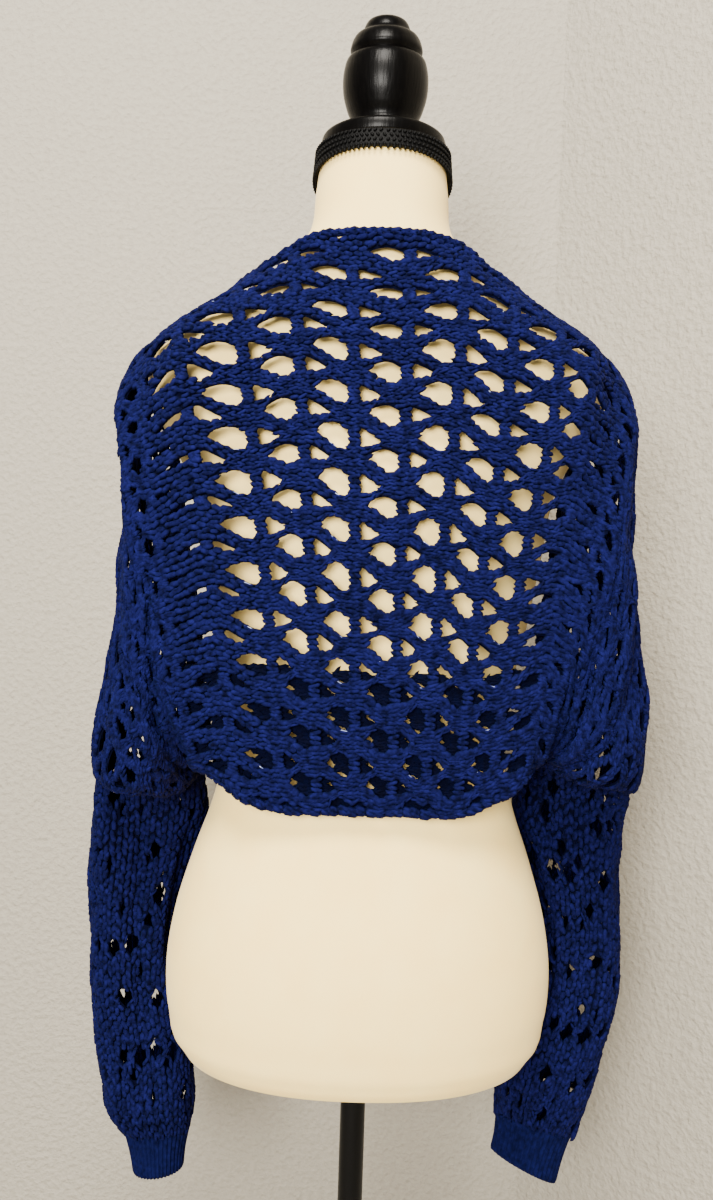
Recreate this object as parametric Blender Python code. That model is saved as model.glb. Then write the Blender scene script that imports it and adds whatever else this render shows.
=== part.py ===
# Open-knit shrug worn on a limbless dress form with a turned finial, pole and round base.
# Metres, +Z up. The front of the form faces -Y, so its back is at +Y and the wearer's left at +X.
# The origin is on the floor, in the middle of the base, on the pole's axis.

import math

import bpy
import mathutils
import numpy as np

for oldObject in list(bpy.data.objects):
    bpy.data.objects.remove(oldObject, do_unlink=True)

# Driving sizes

seamGap = 0.0003
clothThickness = 0.003
netRows = 20
neckRow = 0.5
hemRow = 13.5
rowPitch = 0.0350
hemHeight = 0.773
hemCurve = 6.2
hemFlat = 0.060
liftRow = 4.0
leftLift = 0.007
netShift = 0.0085
rightGather = 0.0030
armholeStep = 4
fanStep = 5
cuffStep = 21
turnUpRows = 3
foldRow = 3
turnUpSteps = 3
shoulderFullness = 2.4
sleeveFullness = 2.15
formClearance = 0.013
seamShift = 0.00025
ribCount = 40
ribHeight = 0.0009
cuffThickness = 0.0022

formBottom = 0.533
neckTopHeight = 1.3055
neckTopLean = 0.095
capRadius = 0.052
capThickness = 0.012
trimThickness = 0.0032
trimClearance = 0.0012
trimLowerHeight = 1.278
trimLowerLean = 0.27
poleRadius = 0.011
collarRadius = 0.021
collarHeight = 0.045
baseRadius = 0.150
baseThickness = 0.012

# Form sections: height, half width, front depth, back depth, rise of the section toward the back

torsoColumns = ("height", "halfWidth", "front", "back", "lean")
torsoSections = (
    (formBottom, 0.128, 0.086, 0.088, 0.0),
    (0.536, 0.141, 0.097, 0.101, 0.0),
    (0.547, 0.1550, 0.106, 0.111, 0.0),
    (0.575, 0.1640, 0.112, 0.119, 0.0),
    (0.612, 0.1668, 0.114, 0.122, 0.0),
    (0.660, 0.1605, 0.108, 0.118, 0.0),
    (0.710, 0.1460, 0.100, 0.105, 0.0),
    (0.760, 0.1290, 0.093, 0.091, 0.0),
    (0.805, 0.1205, 0.090, 0.083, 0.0),
    (0.860, 0.1250, 0.096, 0.083, 0.0),
    (0.920, 0.1370, 0.110, 0.089, 0.0),
    (0.975, 0.1460, 0.121, 0.095, 0.0),
    (1.030, 0.1560, 0.114, 0.098, 0.0),
    (1.075, 0.1800, 0.090, 0.092, 0.0),
    (1.103, 0.1920, 0.074, 0.084, 0.0),
    (1.128, 0.1900, 0.066, 0.079, 0.0),
    (1.1415, 0.1805, 0.061, 0.076, 0.0),
    (1.1534, 0.1640, 0.058, 0.073, 0.0),
    (1.1783, 0.1240, 0.055, 0.069, 0.0),
    (1.1883, 0.1110, 0.054, 0.067, 0.0),
    (1.2098, 0.0840, 0.0535, 0.063, 0.01),
    (1.234, 0.0620, 0.053, 0.058, 0.04),
    (1.270, 0.0555, 0.053, 0.055, 0.07),
    (neckTopHeight, 0.0520, 0.052, 0.053, neckTopLean),
)
torsoFullness = 2.25

# Drape of the shrug over the shoulders: height, half width, back depth, front depth

drapeColumns = ("height", "halfWidth", "back", "front")
drapeSections = (
    (0.760, 0.2350, 0.1070, 0.110),
    (0.810, 0.2320, 0.1090, 0.115),
    (0.900, 0.2260, 0.1110, 0.122),
    (0.980, 0.2220, 0.1115, 0.134),
    (1.045, 0.2210, 0.1085, 0.124),
    (1.098, 0.2250, 0.1010, 0.094),
    (1.115, 0.2220, 0.0985, 0.084),
    (1.127, 0.2130, 0.0965, 0.078),
    (1.144, 0.1935, 0.0930, 0.072),
    (1.161, 0.1670, 0.0880, 0.068),
    (1.186, 0.1265, 0.0795, 0.066),
    (1.196, 0.1125, 0.0765, 0.065),
    (1.218, 0.0850, 0.0710, 0.064),
    (1.240, 0.0640, 0.0665, 0.064),
    (1.275, 0.0540, 0.0640, 0.062),
)
frontReach = 0.95

# Rise of the rows over an even knit, in metres: one line a row, one column a distance from the middle

liftPlaces = (0.0, 0.020, 0.040, 0.055, 0.070, 0.085, 0.110, 0.150)
liftColumns = ("row", "at0", "at20", "at40", "at55", "at70", "at85", "at110", "at150")
liftTable = (
    (0.5, 0.0040, 0.0040, 0.0050, 0.0072, 0.0050, 0.0005, 0.0, 0.0),
    (1.0, 0.0010, 0.0015, 0.0040, 0.0070, 0.0068, 0.0030, 0.0, 0.0),
    (1.5, 0.0015, 0.0020, 0.0036, 0.0068, 0.0080, 0.0045, 0.0, 0.0),
    (2.5, 0.0040, 0.0050, 0.0070, 0.0090, 0.0090, 0.0050, 0.0, 0.0),
    (3.5, 0.0065, 0.0075, 0.0090, 0.0105, 0.0085, 0.0045, 0.0, 0.0),
    (5.0, 0.0090, 0.0095, 0.0110, 0.0120, 0.0085, 0.0040, 0.0, 0.0),
    (7.0, 0.0080, 0.0085, 0.0095, 0.0100, 0.0070, 0.0030, 0.0, 0.0),
    (10.0, 0.0050, 0.0050, 0.0052, 0.0054, 0.0040, 0.0015, 0.0, 0.0),
    (13.5, 0.0, 0.0, 0.0, 0.0, 0.0, 0.0, 0.0, 0.0),
)

# Sleeve rings from the armhole to the cuff: lattice step, then the outer, inner, back and front point

ringColumns = (
    "step", "outX", "outY", "outZ", "inX", "inY", "inZ", "backY", "backZ", "frontY", "frontZ", "seam",
)
leftRings = (
    (5.0, 0.2020, 0.000, 1.136, 0.138, 0.060, 0.793, 0.086, 0.965, -0.078, 0.985, 180),
    (6.0, 0.2160, 0.000, 1.106, 0.143, 0.035, 0.797, 0.087, 0.945, -0.080, 0.960, 180),
    (7.0, 0.2110, 0.000, 1.062, 0.147, 0.015, 0.798, 0.087, 0.920, -0.082, 0.930, 182),
    (8.0, 0.2080, -0.002, 1.016, 0.149, 0.005, 0.796, 0.088, 0.890, -0.084, 0.905, 184),
    (9.0, 0.2110, -0.004, 0.970, 0.150, 0.000, 0.793, 0.089, 0.865, -0.086, 0.880, 188),
    (10.0, 0.2150, -0.006, 0.925, 0.150, -0.005, 0.789, 0.090, 0.845, -0.088, 0.860, 192),
    (11.0, 0.2200, -0.010, 0.880, 0.150, -0.010, 0.785, 0.092, 0.825, -0.090, 0.840, 196),
    (12.0, 0.2270, -0.015, 0.835, 0.149, -0.015, 0.780, 0.092, 0.800, -0.092, 0.815, 200),
    (12.5, 0.2320, -0.018, 0.812, 0.148, -0.020, 0.778, 0.088, 0.782, -0.093, 0.802, 203),
    (13.0, 0.2360, -0.022, 0.792, 0.147, -0.028, 0.775, 0.070, 0.770, -0.094, 0.788, 206),
    (13.5, 0.2370, -0.030, 0.778, 0.146, -0.036, 0.771, 0.040, 0.772, -0.095, 0.775, 208),
    (14.0, 0.2400, -0.040, 0.762, 0.144, -0.045, 0.764, 0.014, 0.766, -0.096, 0.760, 210),
    (15.0, 0.2470, -0.052, 0.712, 0.143, -0.055, 0.715, -0.006, 0.718, -0.098, 0.712, 215),
    (16.0, 0.2485, -0.055, 0.663, 0.152, -0.058, 0.666, -0.012, 0.668, -0.099, 0.663, 218),
    (17.0, 0.2480, -0.056, 0.615, 0.161, -0.060, 0.618, -0.015, 0.620, -0.099, 0.615, 220),
    (18.0, 0.2445, -0.056, 0.567, 0.162, -0.060, 0.570, -0.016, 0.572, -0.098, 0.567, 222),
    (19.0, 0.2390, -0.055, 0.519, 0.156, -0.058, 0.522, -0.017, 0.524, -0.096, 0.519, 224),
    (20.0, 0.2340, -0.054, 0.470, 0.150, -0.056, 0.474, -0.018, 0.476, -0.092, 0.471, 226),
    (20.6, 0.2290, -0.053, 0.441, 0.149, -0.055, 0.446, -0.020, 0.448, -0.088, 0.442, 227),
    (21.0, 0.2140, -0.052, 0.424, 0.152, -0.054, 0.426, -0.027, 0.428, -0.077, 0.424, 228),
)
rightRings = (
    (5.0, 0.2010, 0.000, 1.138, 0.140, 0.060, 0.806, 0.086, 0.965, -0.078, 0.985, 180),
    (6.0, 0.2175, 0.000, 1.108, 0.145, 0.035, 0.810, 0.087, 0.945, -0.080, 0.960, 180),
    (7.0, 0.2175, 0.000, 1.064, 0.148, 0.015, 0.812, 0.088, 0.920, -0.082, 0.930, 182),
    (8.0, 0.2180, -0.002, 1.018, 0.150, 0.005, 0.811, 0.089, 0.892, -0.084, 0.905, 184),
    (9.0, 0.2220, -0.004, 0.972, 0.151, 0.000, 0.809, 0.090, 0.870, -0.086, 0.880, 188),
    (10.0, 0.2275, -0.006, 0.927, 0.151, -0.005, 0.807, 0.091, 0.850, -0.088, 0.860, 192),
    (11.0, 0.2325, -0.008, 0.882, 0.151, -0.010, 0.804, 0.092, 0.835, -0.090, 0.840, 196),
    (12.0, 0.2370, -0.010, 0.838, 0.150, -0.015, 0.800, 0.092, 0.820, -0.092, 0.822, 200),
    (12.5, 0.2385, -0.012, 0.810, 0.149, -0.018, 0.798, 0.088, 0.803, -0.093, 0.806, 203),
    (13.0, 0.2380, -0.014, 0.782, 0.148, -0.025, 0.794, 0.070, 0.791, -0.094, 0.790, 206),
    (13.5, 0.2350, -0.020, 0.757, 0.147, -0.035, 0.788, 0.042, 0.790, -0.095, 0.773, 208),
    (14.0, 0.2320, -0.032, 0.738, 0.145, -0.045, 0.778, 0.014, 0.781, -0.096, 0.758, 210),
    (15.0, 0.2370, -0.050, 0.702, 0.142, -0.055, 0.726, -0.006, 0.728, -0.098, 0.712, 215),
    (16.0, 0.2410, -0.054, 0.658, 0.151, -0.058, 0.674, -0.012, 0.676, -0.099, 0.663, 218),
    (17.0, 0.2425, -0.055, 0.613, 0.160, -0.060, 0.624, -0.015, 0.626, -0.099, 0.615, 220),
    (18.0, 0.2405, -0.055, 0.567, 0.157, -0.060, 0.576, -0.016, 0.578, -0.098, 0.567, 222),
    (19.0, 0.2330, -0.055, 0.520, 0.149, -0.058, 0.530, -0.017, 0.532, -0.096, 0.521, 224),
    (20.0, 0.2205, -0.054, 0.475, 0.138, -0.056, 0.487, -0.018, 0.488, -0.092, 0.476, 226),
    (21.0, 0.2060, -0.052, 0.430, 0.135, -0.054, 0.450, -0.026, 0.448, -0.078, 0.432, 228),
)

# Lower rims of the cuffs: outer, inner, back and front point

cuffColumns = ("outX", "outZ", "inX", "inZ", "backY", "backZ", "frontY", "frontZ")
leftCuffRim = (0.2045, 0.3820, 0.1570, 0.3880, -0.030, 0.3860, -0.074, 0.3820)
rightCuffRim = (0.1940, 0.3830, 0.1310, 0.4150, -0.030, 0.4040, -0.074, 0.3850)
cuffMiddleY = -0.052

# Finial profile: radius and height above the cap

finialProfile = (
    (0.0290, 0.0000), (0.0302, 0.0055), (0.0280, 0.0130), (0.0315, 0.0230), (0.0348, 0.0345),
    (0.0358, 0.0450), (0.0350, 0.0555), (0.0324, 0.0640), (0.0283, 0.0682), (0.0299, 0.0702),
    (0.0293, 0.0765), (0.0257, 0.0833), (0.0199, 0.0868), (0.0192, 0.0898), (0.0165, 0.0950),
    (0.0097, 0.0985),
)

# One eye of the openwork in steps and rows from its middle: the larger gap beside the cross bar

eyeGap = ((0.64, 0.0), (0.30, 0.262), (0.0, 0.235), (0.0, -0.235), (0.30, -0.262))


def column(table, names, name):
    return np.array([row[names.index(name)] for row in table], dtype=float)


def smoothRead(table, names, name, at):
    # Catmull-Rom curve through one column against the table's first column
    keys = column(table, names, names[0])
    values = column(table, names, name)
    slopes = np.gradient(values, keys)
    at = np.clip(np.asarray(at, dtype=float), keys[0], keys[-1])
    index = np.clip(np.searchsorted(keys, at, side="right") - 1, 0, len(keys) - 2)
    width = keys[index + 1] - keys[index]
    t = (at - keys[index]) / width
    return (
        (2 * t**3 - 3 * t**2 + 1) * values[index]
        + (t**3 - 2 * t**2 + t) * width * slopes[index]
        + (-2 * t**3 + 3 * t**2) * values[index + 1]
        + (t**3 - t**2) * width * slopes[index + 1]
    )


def alongCurve(points, shares):
    # Points at the given shares of a polyline's length
    lengths = np.concatenate([[0.0], np.cumsum(np.linalg.norm(np.diff(points, axis=0), axis=1))])
    wanted = np.asarray(shares) * lengths[-1]
    return np.stack([np.interp(wanted, lengths, points[:, axis]) for axis in range(3)], axis=1)


# The shrug's surface as a grid of stations along the arms and rows around them


def drapeDepth(x, height, side):
    width = smoothRead(drapeSections, drapeColumns, "halfWidth", height)
    depth = smoothRead(drapeSections, drapeColumns, side, height)
    share = np.clip(np.abs(x) / width, 0.0, 1.0)
    return depth * (1.0 - share**shoulderFullness) ** (1.0 / shoulderFullness)


def ridgeHeight(x):
    heights = column(drapeSections, drapeColumns, "height")
    widths = column(drapeSections, drapeColumns, "halfWidth")
    top = int(np.argmax(heights > 1.09))
    return float(np.interp(-abs(x), -widths[top:], heights[top:]))


def sideOfStep(step, row):
    # Columns of the openwork lean together toward the hem
    down = (row - neckRow) / (hemRow - neckRow)
    spread = 0.029 + 0.017 * (1.0 - down) ** 1.2
    even = -0.010 + spread * step + 0.0007 * (1.0 - down) ** 2 * step * step
    ease = min(1.0, max(0.0, (down - 0.30) / 0.35))
    gather = rightGather * ease * ease * (3.0 - 2.0 * ease) * max(0.0, -step)
    return even - (netShift - gather) * min(1.0, 4.0 - abs(step))


def bodyPoint(step, row):
    # Up the back from the hem, over the shoulder and down the front, by length
    x = sideOfStep(step, row)
    hemSide = abs(sideOfStep(step, hemRow))
    hemLift = hemCurve * max(0.0, hemSide - hemFlat) ** 2
    fade = max(0.0, (row - liftRow) / (hemRow - liftRow))
    lifts = [float(smoothRead(liftTable, liftColumns, name, row)) for name in liftColumns[1:]]
    rowLift = float(smoothRead(tuple(zip(liftPlaces, lifts)), ("place", "lift"), "lift", abs(x)))
    ridge = ridgeHeight(x)
    turn = np.linspace(0.0, math.pi / 2, 60)
    backHeights = hemHeight + (ridge - hemHeight) * np.sin(turn)
    frontHeights = ridge - (ridge - frontReach) * (1.0 - np.cos(turn))
    back = np.stack([np.full(60, x), drapeDepth(x, backHeights, "back"), backHeights], axis=1)
    front = np.stack([np.full(60, x), -drapeDepth(x, frontHeights, "front"), frontHeights], axis=1)
    curve = np.concatenate([back, front[1:]])
    lengths = np.concatenate([[0.0], np.cumsum(np.linalg.norm(np.diff(curve, axis=0), axis=1))])
    down = (row - neckRow) / (hemRow - neckRow)
    sideLift = leftLift * max(0.0, min(step, 3.0) / 3.0) ** 2 * math.sin(math.pi * down)
    wanted = (hemRow - row) * rowPitch + rowLift + hemLift * fade + sideLift
    return np.array([np.interp(wanted, lengths, curve[:, axis]) for axis in range(3)])


def closingCurve(start, end, shares):
    # The front opening's edge, from the shoulder down to the hem's corner under the arm
    side = math.copysign(1.0, start[0])
    first = start + np.array([-0.005 * side, -0.060, -0.100])
    second = end + np.array([0.045 * side, -0.130, 0.020])
    t = np.linspace(0.0, 1.0, 80)[:, None]
    curve = (1 - t) ** 3 * start + 3 * (1 - t) ** 2 * t * first + 3 * (1 - t) * t**2 * second + t**3 * end
    return alongCurve(curve, shares)


def bodyStation(step, rows):
    upper = [bodyPoint(step, row) for row in rows if row >= neckRow]
    lower = rows[rows < neckRow]
    shares = (neckRow - lower) / (neckRow - (hemRow - netRows))
    return np.concatenate([closingCurve(upper[0], upper[-1], shares), np.array(upper)])


def ringCurve(outer, inner, back, front, fullness, count=96):
    # Four quarter ovals through the outer, back, inner and front points
    middle = (outer + inner) / 2
    corners = (outer, back, inner, front, outer)
    points = []
    for quarter in range(4):
        start = corners[quarter] - middle
        end = corners[quarter + 1] - middle
        for turn in np.linspace(0.0, math.pi / 2, count // 4, endpoint=False):
            toward = start * math.cos(turn) ** (2 / fullness) + end * math.sin(turn) ** (2 / fullness)
            points.append(middle + toward)
    return np.array(points)


def ringStation(rings, side, step, rows, ridgeRow):
    read = {name: float(smoothRead(rings, ringColumns, name, step)) for name in ringColumns[1:]}
    outer = np.array([side * read["outX"], read["outY"], read["outZ"]])
    inner = np.array([side * read["inX"], read["inY"], read["inZ"]])
    across = (outer[0] + inner[0]) / 2
    back = np.array([across, read["backY"], read["backZ"]])
    front = np.array([across, read["frontY"], read["frontZ"]])
    points = ringCurve(outer, inner, back, front, sleeveFullness)
    seam = int(round(read["seam"] / 360 * len(points)))
    backHalf = points[: seam + 1]
    frontHalf = np.concatenate([points[seam:], points[:1]])[::-1]
    onBack = rows[rows >= ridgeRow]
    onFront = rows[rows < ridgeRow]
    backShares = (onBack - ridgeRow) / (hemRow - ridgeRow)
    frontShares = (ridgeRow - onFront) / (ridgeRow - (hemRow - netRows))
    return np.concatenate([alongCurve(frontHalf, frontShares), alongCurve(backHalf, backShares)])


rowGrid = np.arange(hemRow - netRows, hemRow + 0.001, 0.25)
stepGrid = np.arange(-cuffStep, cuffStep + 0.001, 0.5)
ridgeSteps = (5.0, 9.0)
ridgeRows = (1.75, 3.25)


def clearOfForm(points):
    # Moves points out sideways where they would come nearer the form than the cloth's wall
    inside = (points[:, 2] > formBottom) & (points[:, 2] < neckTopHeight)
    heights = points[:, 2]
    width = smoothRead(torsoSections, torsoColumns, "halfWidth", heights) + formClearance
    front = smoothRead(torsoSections, torsoColumns, "front", heights) + formClearance
    back = smoothRead(torsoSections, torsoColumns, "back", heights) + formClearance
    depth = np.where(points[:, 1] > 0, back, front)
    across = np.abs(points[:, 0]) / width
    along = np.abs(points[:, 1]) / depth
    share = across**torsoFullness + along**torsoFullness
    push = np.where(inside & (share < 1.0), np.maximum(share, 0.05) ** (-1.0 / torsoFullness), 1.0)
    return points * np.stack([push, push, np.ones(len(push))], axis=1)


def buildStations():
    # Rings of the fan meet the body's last station by a blend over one step
    stations = []
    for step in stepGrid:
        reach = abs(step)
        rings, side = (leftRings, 1) if step > 0 else (rightRings, -1)
        if reach <= armholeStep:
            station = bodyStation(step, rowGrid)
        elif reach >= fanStep:
            station = ringStation(rings, side, reach, rowGrid, float(np.interp(reach, ridgeSteps, ridgeRows)))
        else:
            before = bodyStation(side * armholeStep, rowGrid)
            after = ringStation(rings, side, fanStep, rowGrid, ridgeRows[0])
            share = (reach - armholeStep) / (fanStep - armholeStep)
            station = before * (1 - share) + after * share
        stations.append(clearOfForm(station) if reach > 3 else station)
    return np.array(stations)


stations = buildStations()


def cubicWeights(t):
    return (
        -0.5 * t + t**2 - 0.5 * t**3,
        1.0 - 2.5 * t**2 + 1.5 * t**3,
        0.5 * t + 2.0 * t**2 - 1.5 * t**3,
        -0.5 * t**2 + 0.5 * t**3,
    )


def onNet(steps, rows):
    # Smooth read of the station grid at any step and row
    stepAt = (np.clip(steps, stepGrid[0], stepGrid[-1]) - stepGrid[0]) / 0.5
    rowAt = (np.clip(rows, rowGrid[0], rowGrid[-1]) - rowGrid[0]) / 0.25
    stepIndex = np.clip(np.floor(stepAt).astype(int), 0, len(stepGrid) - 2)
    rowIndex = np.clip(np.floor(rowAt).astype(int), 0, len(rowGrid) - 2)
    stepWeights = cubicWeights(stepAt - stepIndex)
    rowWeights = cubicWeights(rowAt - rowIndex)
    total = np.zeros((len(stepAt), 3))
    for i in range(4):
        atStep = np.clip(stepIndex + i - 1, 0, len(stepGrid) - 1)
        for j in range(4):
            atRow = np.clip(rowIndex + j - 1, 0, len(rowGrid) - 1)
            total += (stepWeights[i] * rowWeights[j])[:, None] * stations[atStep, atRow]
    return total


def netFrame(steps, rows):
    # Points of the net and their outward normals
    reach = 0.02
    lowRow = hemRow - netRows
    alongStep = onNet(steps + reach, rows) - onNet(steps - reach, rows)
    alongRow = onNet(steps, rows + reach) - onNet(steps, rows - reach)
    onSeam = (np.abs(steps) > armholeStep - 0.01) & ((rows < lowRow + 0.001) | (rows > hemRow - 0.001))
    acrossSeam = onNet(steps, rows * 0 + lowRow + reach) - onNet(steps, rows * 0 + hemRow - reach)
    alongRow[onSeam] = acrossSeam[onSeam]
    normal = np.cross(alongStep, alongRow)
    normal /= np.maximum(np.linalg.norm(normal, axis=1), 1e-12)[:, None]
    return onNet(steps, rows), normal


# Materials and mesh objects


def makeMaterial(name, colour, roughness, metallic=0.0):
    material = bpy.data.materials.new(name)
    material.use_nodes = True
    shader = material.node_tree.nodes["Principled BSDF"]
    shader.inputs["Base Color"].default_value = (*colour, 1.0)
    shader.inputs["Roughness"].default_value = roughness
    shader.inputs["Metallic"].default_value = metallic
    return material


yarnBlue = makeMaterial("yarn_blue", (0.012, 0.040, 0.300), 0.90)
jerseyCream = makeMaterial("jersey_cream", (0.80, 0.72, 0.56), 0.85)
woodBlack = makeMaterial("wood_black", (0.012, 0.010, 0.009), 0.35)
braidBlack = makeMaterial("braid_black", (0.010, 0.010, 0.011), 0.80)
metalBlack = makeMaterial("metal_black", (0.010, 0.010, 0.012), 0.40, 0.6)


def makeObject(name, points, faces, material):
    mesh = bpy.data.meshes.new(name)
    mesh.from_pydata([tuple(point) for point in points], [], faces)
    mesh.validate()
    mesh.materials.append(material)
    mesh.shade_smooth()
    mesh.set_sharp_from_angle(angle=math.radians(40))
    made = bpy.data.objects.new(name, mesh)
    bpy.context.scene.collection.objects.link(made)
    return made


def bandFaces(first, second, count, closed=True):
    # Quads between two rows of points, the first below the second, seen from outside
    faces = []
    for i in range(count if closed else count - 1):
        j = (i + 1) % count
        faces.append((first + i, first + j, second + j, second + i))
    return faces


def turnedSolid(name, profile, segments, height, material, lean=0.0, leaningRings=99):
    # Rings of a radius and height profile, closed by a disc at each end
    points = []
    for ring, (radius, level) in enumerate(profile):
        ringLean = lean if ring < leaningRings else 0.0
        for i in range(segments):
            turn = 2 * math.pi * i / segments
            y = radius * math.sin(turn)
            points.append((radius * math.cos(turn), y, height + level + ringLean * y))
    faces = [tuple(reversed(range(segments)))]
    for ring in range(len(profile) - 1):
        faces += bandFaces(ring * segments, (ring + 1) * segments, segments)
    faces.append(tuple(range((len(profile) - 1) * segments, len(profile) * segments)))
    return makeObject(name, points, faces, material)


# The form


def torsoRing(height, grow, segments):
    read = {name: float(smoothRead(torsoSections, torsoColumns, name, height)) for name in torsoColumns[1:]}
    ring = []
    for i in range(segments):
        turn = 2 * math.pi * i / segments
        across = abs(math.cos(turn)) ** (2 / torsoFullness) * math.copysign(1.0, math.cos(turn))
        along = abs(math.sin(turn)) ** (2 / torsoFullness) * math.copysign(1.0, math.sin(turn))
        depth = (read["back"] if along > 0 else read["front"]) + grow
        y = depth * along
        ring.append(((read["halfWidth"] + grow) * across, y, height + read["lean"] * y))
    return ring


def makeTorso():
    segments = 32
    points = []
    for row in torsoSections:
        points += torsoRing(row[0], 0.0, segments)
    faces = [tuple(reversed(range(segments)))]
    for ring in range(len(torsoSections) - 1):
        faces += bandFaces(ring * segments, (ring + 1) * segments, segments)
    faces.append(tuple(range((len(torsoSections) - 1) * segments, len(torsoSections) * segments)))
    return makeObject("torso", points, faces, jerseyCream)


def neckPoint(turn, share, grow):
    # A point beside the neck between the trim's lower edge and the top of the neck
    y = float(smoothRead(torsoSections, torsoColumns, "back", neckTopHeight)) * math.sin(turn)
    low = trimLowerHeight + trimLowerLean * y
    high = neckTopHeight - seamGap + neckTopLean * y
    height = low * (1 - share) + high * share
    level = height - neckTopLean * y
    read = {name: float(smoothRead(torsoSections, torsoColumns, name, level)) for name in torsoColumns[1:]}
    across = abs(math.cos(turn)) ** (2 / torsoFullness) * math.copysign(1.0, math.cos(turn))
    along = abs(math.sin(turn)) ** (2 / torsoFullness) * math.copysign(1.0, math.sin(turn))
    depth = read["back"] if along > 0 else read["front"]
    return ((read["halfWidth"] + grow) * across, (depth + grow) * along, height)


def makeTrim():
    # Braid band around the top of the neck, deeper at the front than at the back
    segments = 32
    inner, outer = [], []
    for share in (0.0, 0.33, 0.67, 1.0):
        for grow, rings in ((trimClearance, inner), (trimClearance + trimThickness, outer)):
            rings.append([neckPoint(2 * math.pi * i / segments, share, grow) for i in range(segments)])
    points = [point for ring in outer + inner for point in ring]
    rows = len(outer)
    faces = []
    for k in range(rows - 1):
        faces += bandFaces(k * segments, (k + 1) * segments, segments)
        inside = bandFaces((rows + k) * segments, (rows + k + 1) * segments, segments)
        faces += [tuple(reversed(face)) for face in inside]
    faces += bandFaces(rows * segments, 0, segments)
    faces += bandFaces((rows - 1) * segments, (2 * rows - 1) * segments, segments)
    return makeObject("neck_trim", points, faces, braidBlack)


def makeStand():
    capProfile = (
        (capRadius - 0.002, 0.0),
        (capRadius, 0.002),
        (capRadius, 0.009),
        (capRadius - 0.004, capThickness),
    )
    turnedSolid("neck_cap", capProfile, 36, neckTopHeight + seamGap, woodBlack, neckTopLean)
    finialBase = neckTopHeight + seamGap * 2 + capThickness
    turnedSolid("finial", finialProfile, 24, finialBase, woodBlack, neckTopLean, 1)
    baseProfile = (
        (baseRadius - 0.002, 0.0),
        (baseRadius, 0.002),
        (baseRadius, 0.006),
        (baseRadius - 0.006, baseThickness),
    )
    turnedSolid("base", baseProfile, 40, 0.0, metalBlack)
    collarProfile = (
        (collarRadius + 0.006, 0.0),
        (collarRadius, 0.008),
        (collarRadius, collarHeight - 0.002),
        (collarRadius - 0.002, collarHeight),
    )
    turnedSolid("collar", collarProfile, 24, baseThickness + seamGap, metalBlack)
    poleFoot = baseThickness + collarHeight + 2 * seamGap
    poleProfile = ((poleRadius, 0.0), (poleRadius, formBottom - seamGap - poleFoot))
    turnedSolid("pole", poleProfile, 20, poleFoot, metalBlack)


# The openwork: one four-cornered cell around each eye of the net


def isEye(step, row):
    return (step + round(2 * row)) % 2 == 0


def fineEdge(step):
    # Edges near the elbow fold carry a middle point
    return 11.4 < abs(step) < 14.1


def cellOutline(step, row, lowStep, highStep, lowRow, highRow):
    # The cell's corners, clipped to the piece, with middle points on free and fine edges
    around = [(step - 1, row), (step, row - 0.5), (step + 1, row), (step, row + 0.5)]
    inside = [lowStep <= c[0] <= highStep and lowRow <= c[1] <= highRow for c in around]
    corners = []
    for i, corner in enumerate(around):
        if inside[i]:
            corners.append(corner)
        elif not inside[(i + 1) % 4]:
            corners.append((step, row))
    outline, middles = [], []
    for i, corner in enumerate(corners):
        after = corners[(i + 1) % len(corners)]
        outline.append(corner)
        middle = ((corner[0] + after[0]) / 2, (corner[1] + after[1]) / 2)
        freeEdge = corner[1] == after[1] and abs(corner[0] - after[0]) == 2
        if fineEdge(middle[0]) or freeEdge:
            middles.append(len(outline))
            outline.append(middle)
    first = middles[0] if middles else 0
    return outline[first:] + outline[:first], all(inside)


def ringTriangles(outline, gap):
    # Triangles between a cell's outline and its gap, both counter-clockwise
    centre = np.mean(np.array(gap), axis=0)

    def turnOf(point):
        return math.atan2(point[1] - centre[1], point[0] - centre[0]) % (2 * math.pi)

    outer = sorted(range(len(outline)), key=lambda i: turnOf(outline[i]))
    inner = sorted(range(len(gap)), key=lambda i: turnOf(gap[i]))
    faces = []
    i = j = 0
    while i < len(outer) or j < len(inner):
        nextOuter = turnOf(outline[outer[i % len(outer)]]) if i < len(outer) else math.inf
        nextInner = turnOf(gap[inner[j % len(inner)]]) if j < len(inner) else math.inf
        nowOuter = outer[(i - 1) % len(outer)]
        nowInner = inner[(j - 1) % len(inner)]
        if nextOuter <= nextInner:
            faces.append((("o", nowOuter), ("o", outer[i]), ("g", nowInner)))
            i += 1
        else:
            faces.append((("g", inner[j]), ("g", nowInner), ("o", nowOuter)))
            j += 1
    return faces


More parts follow.
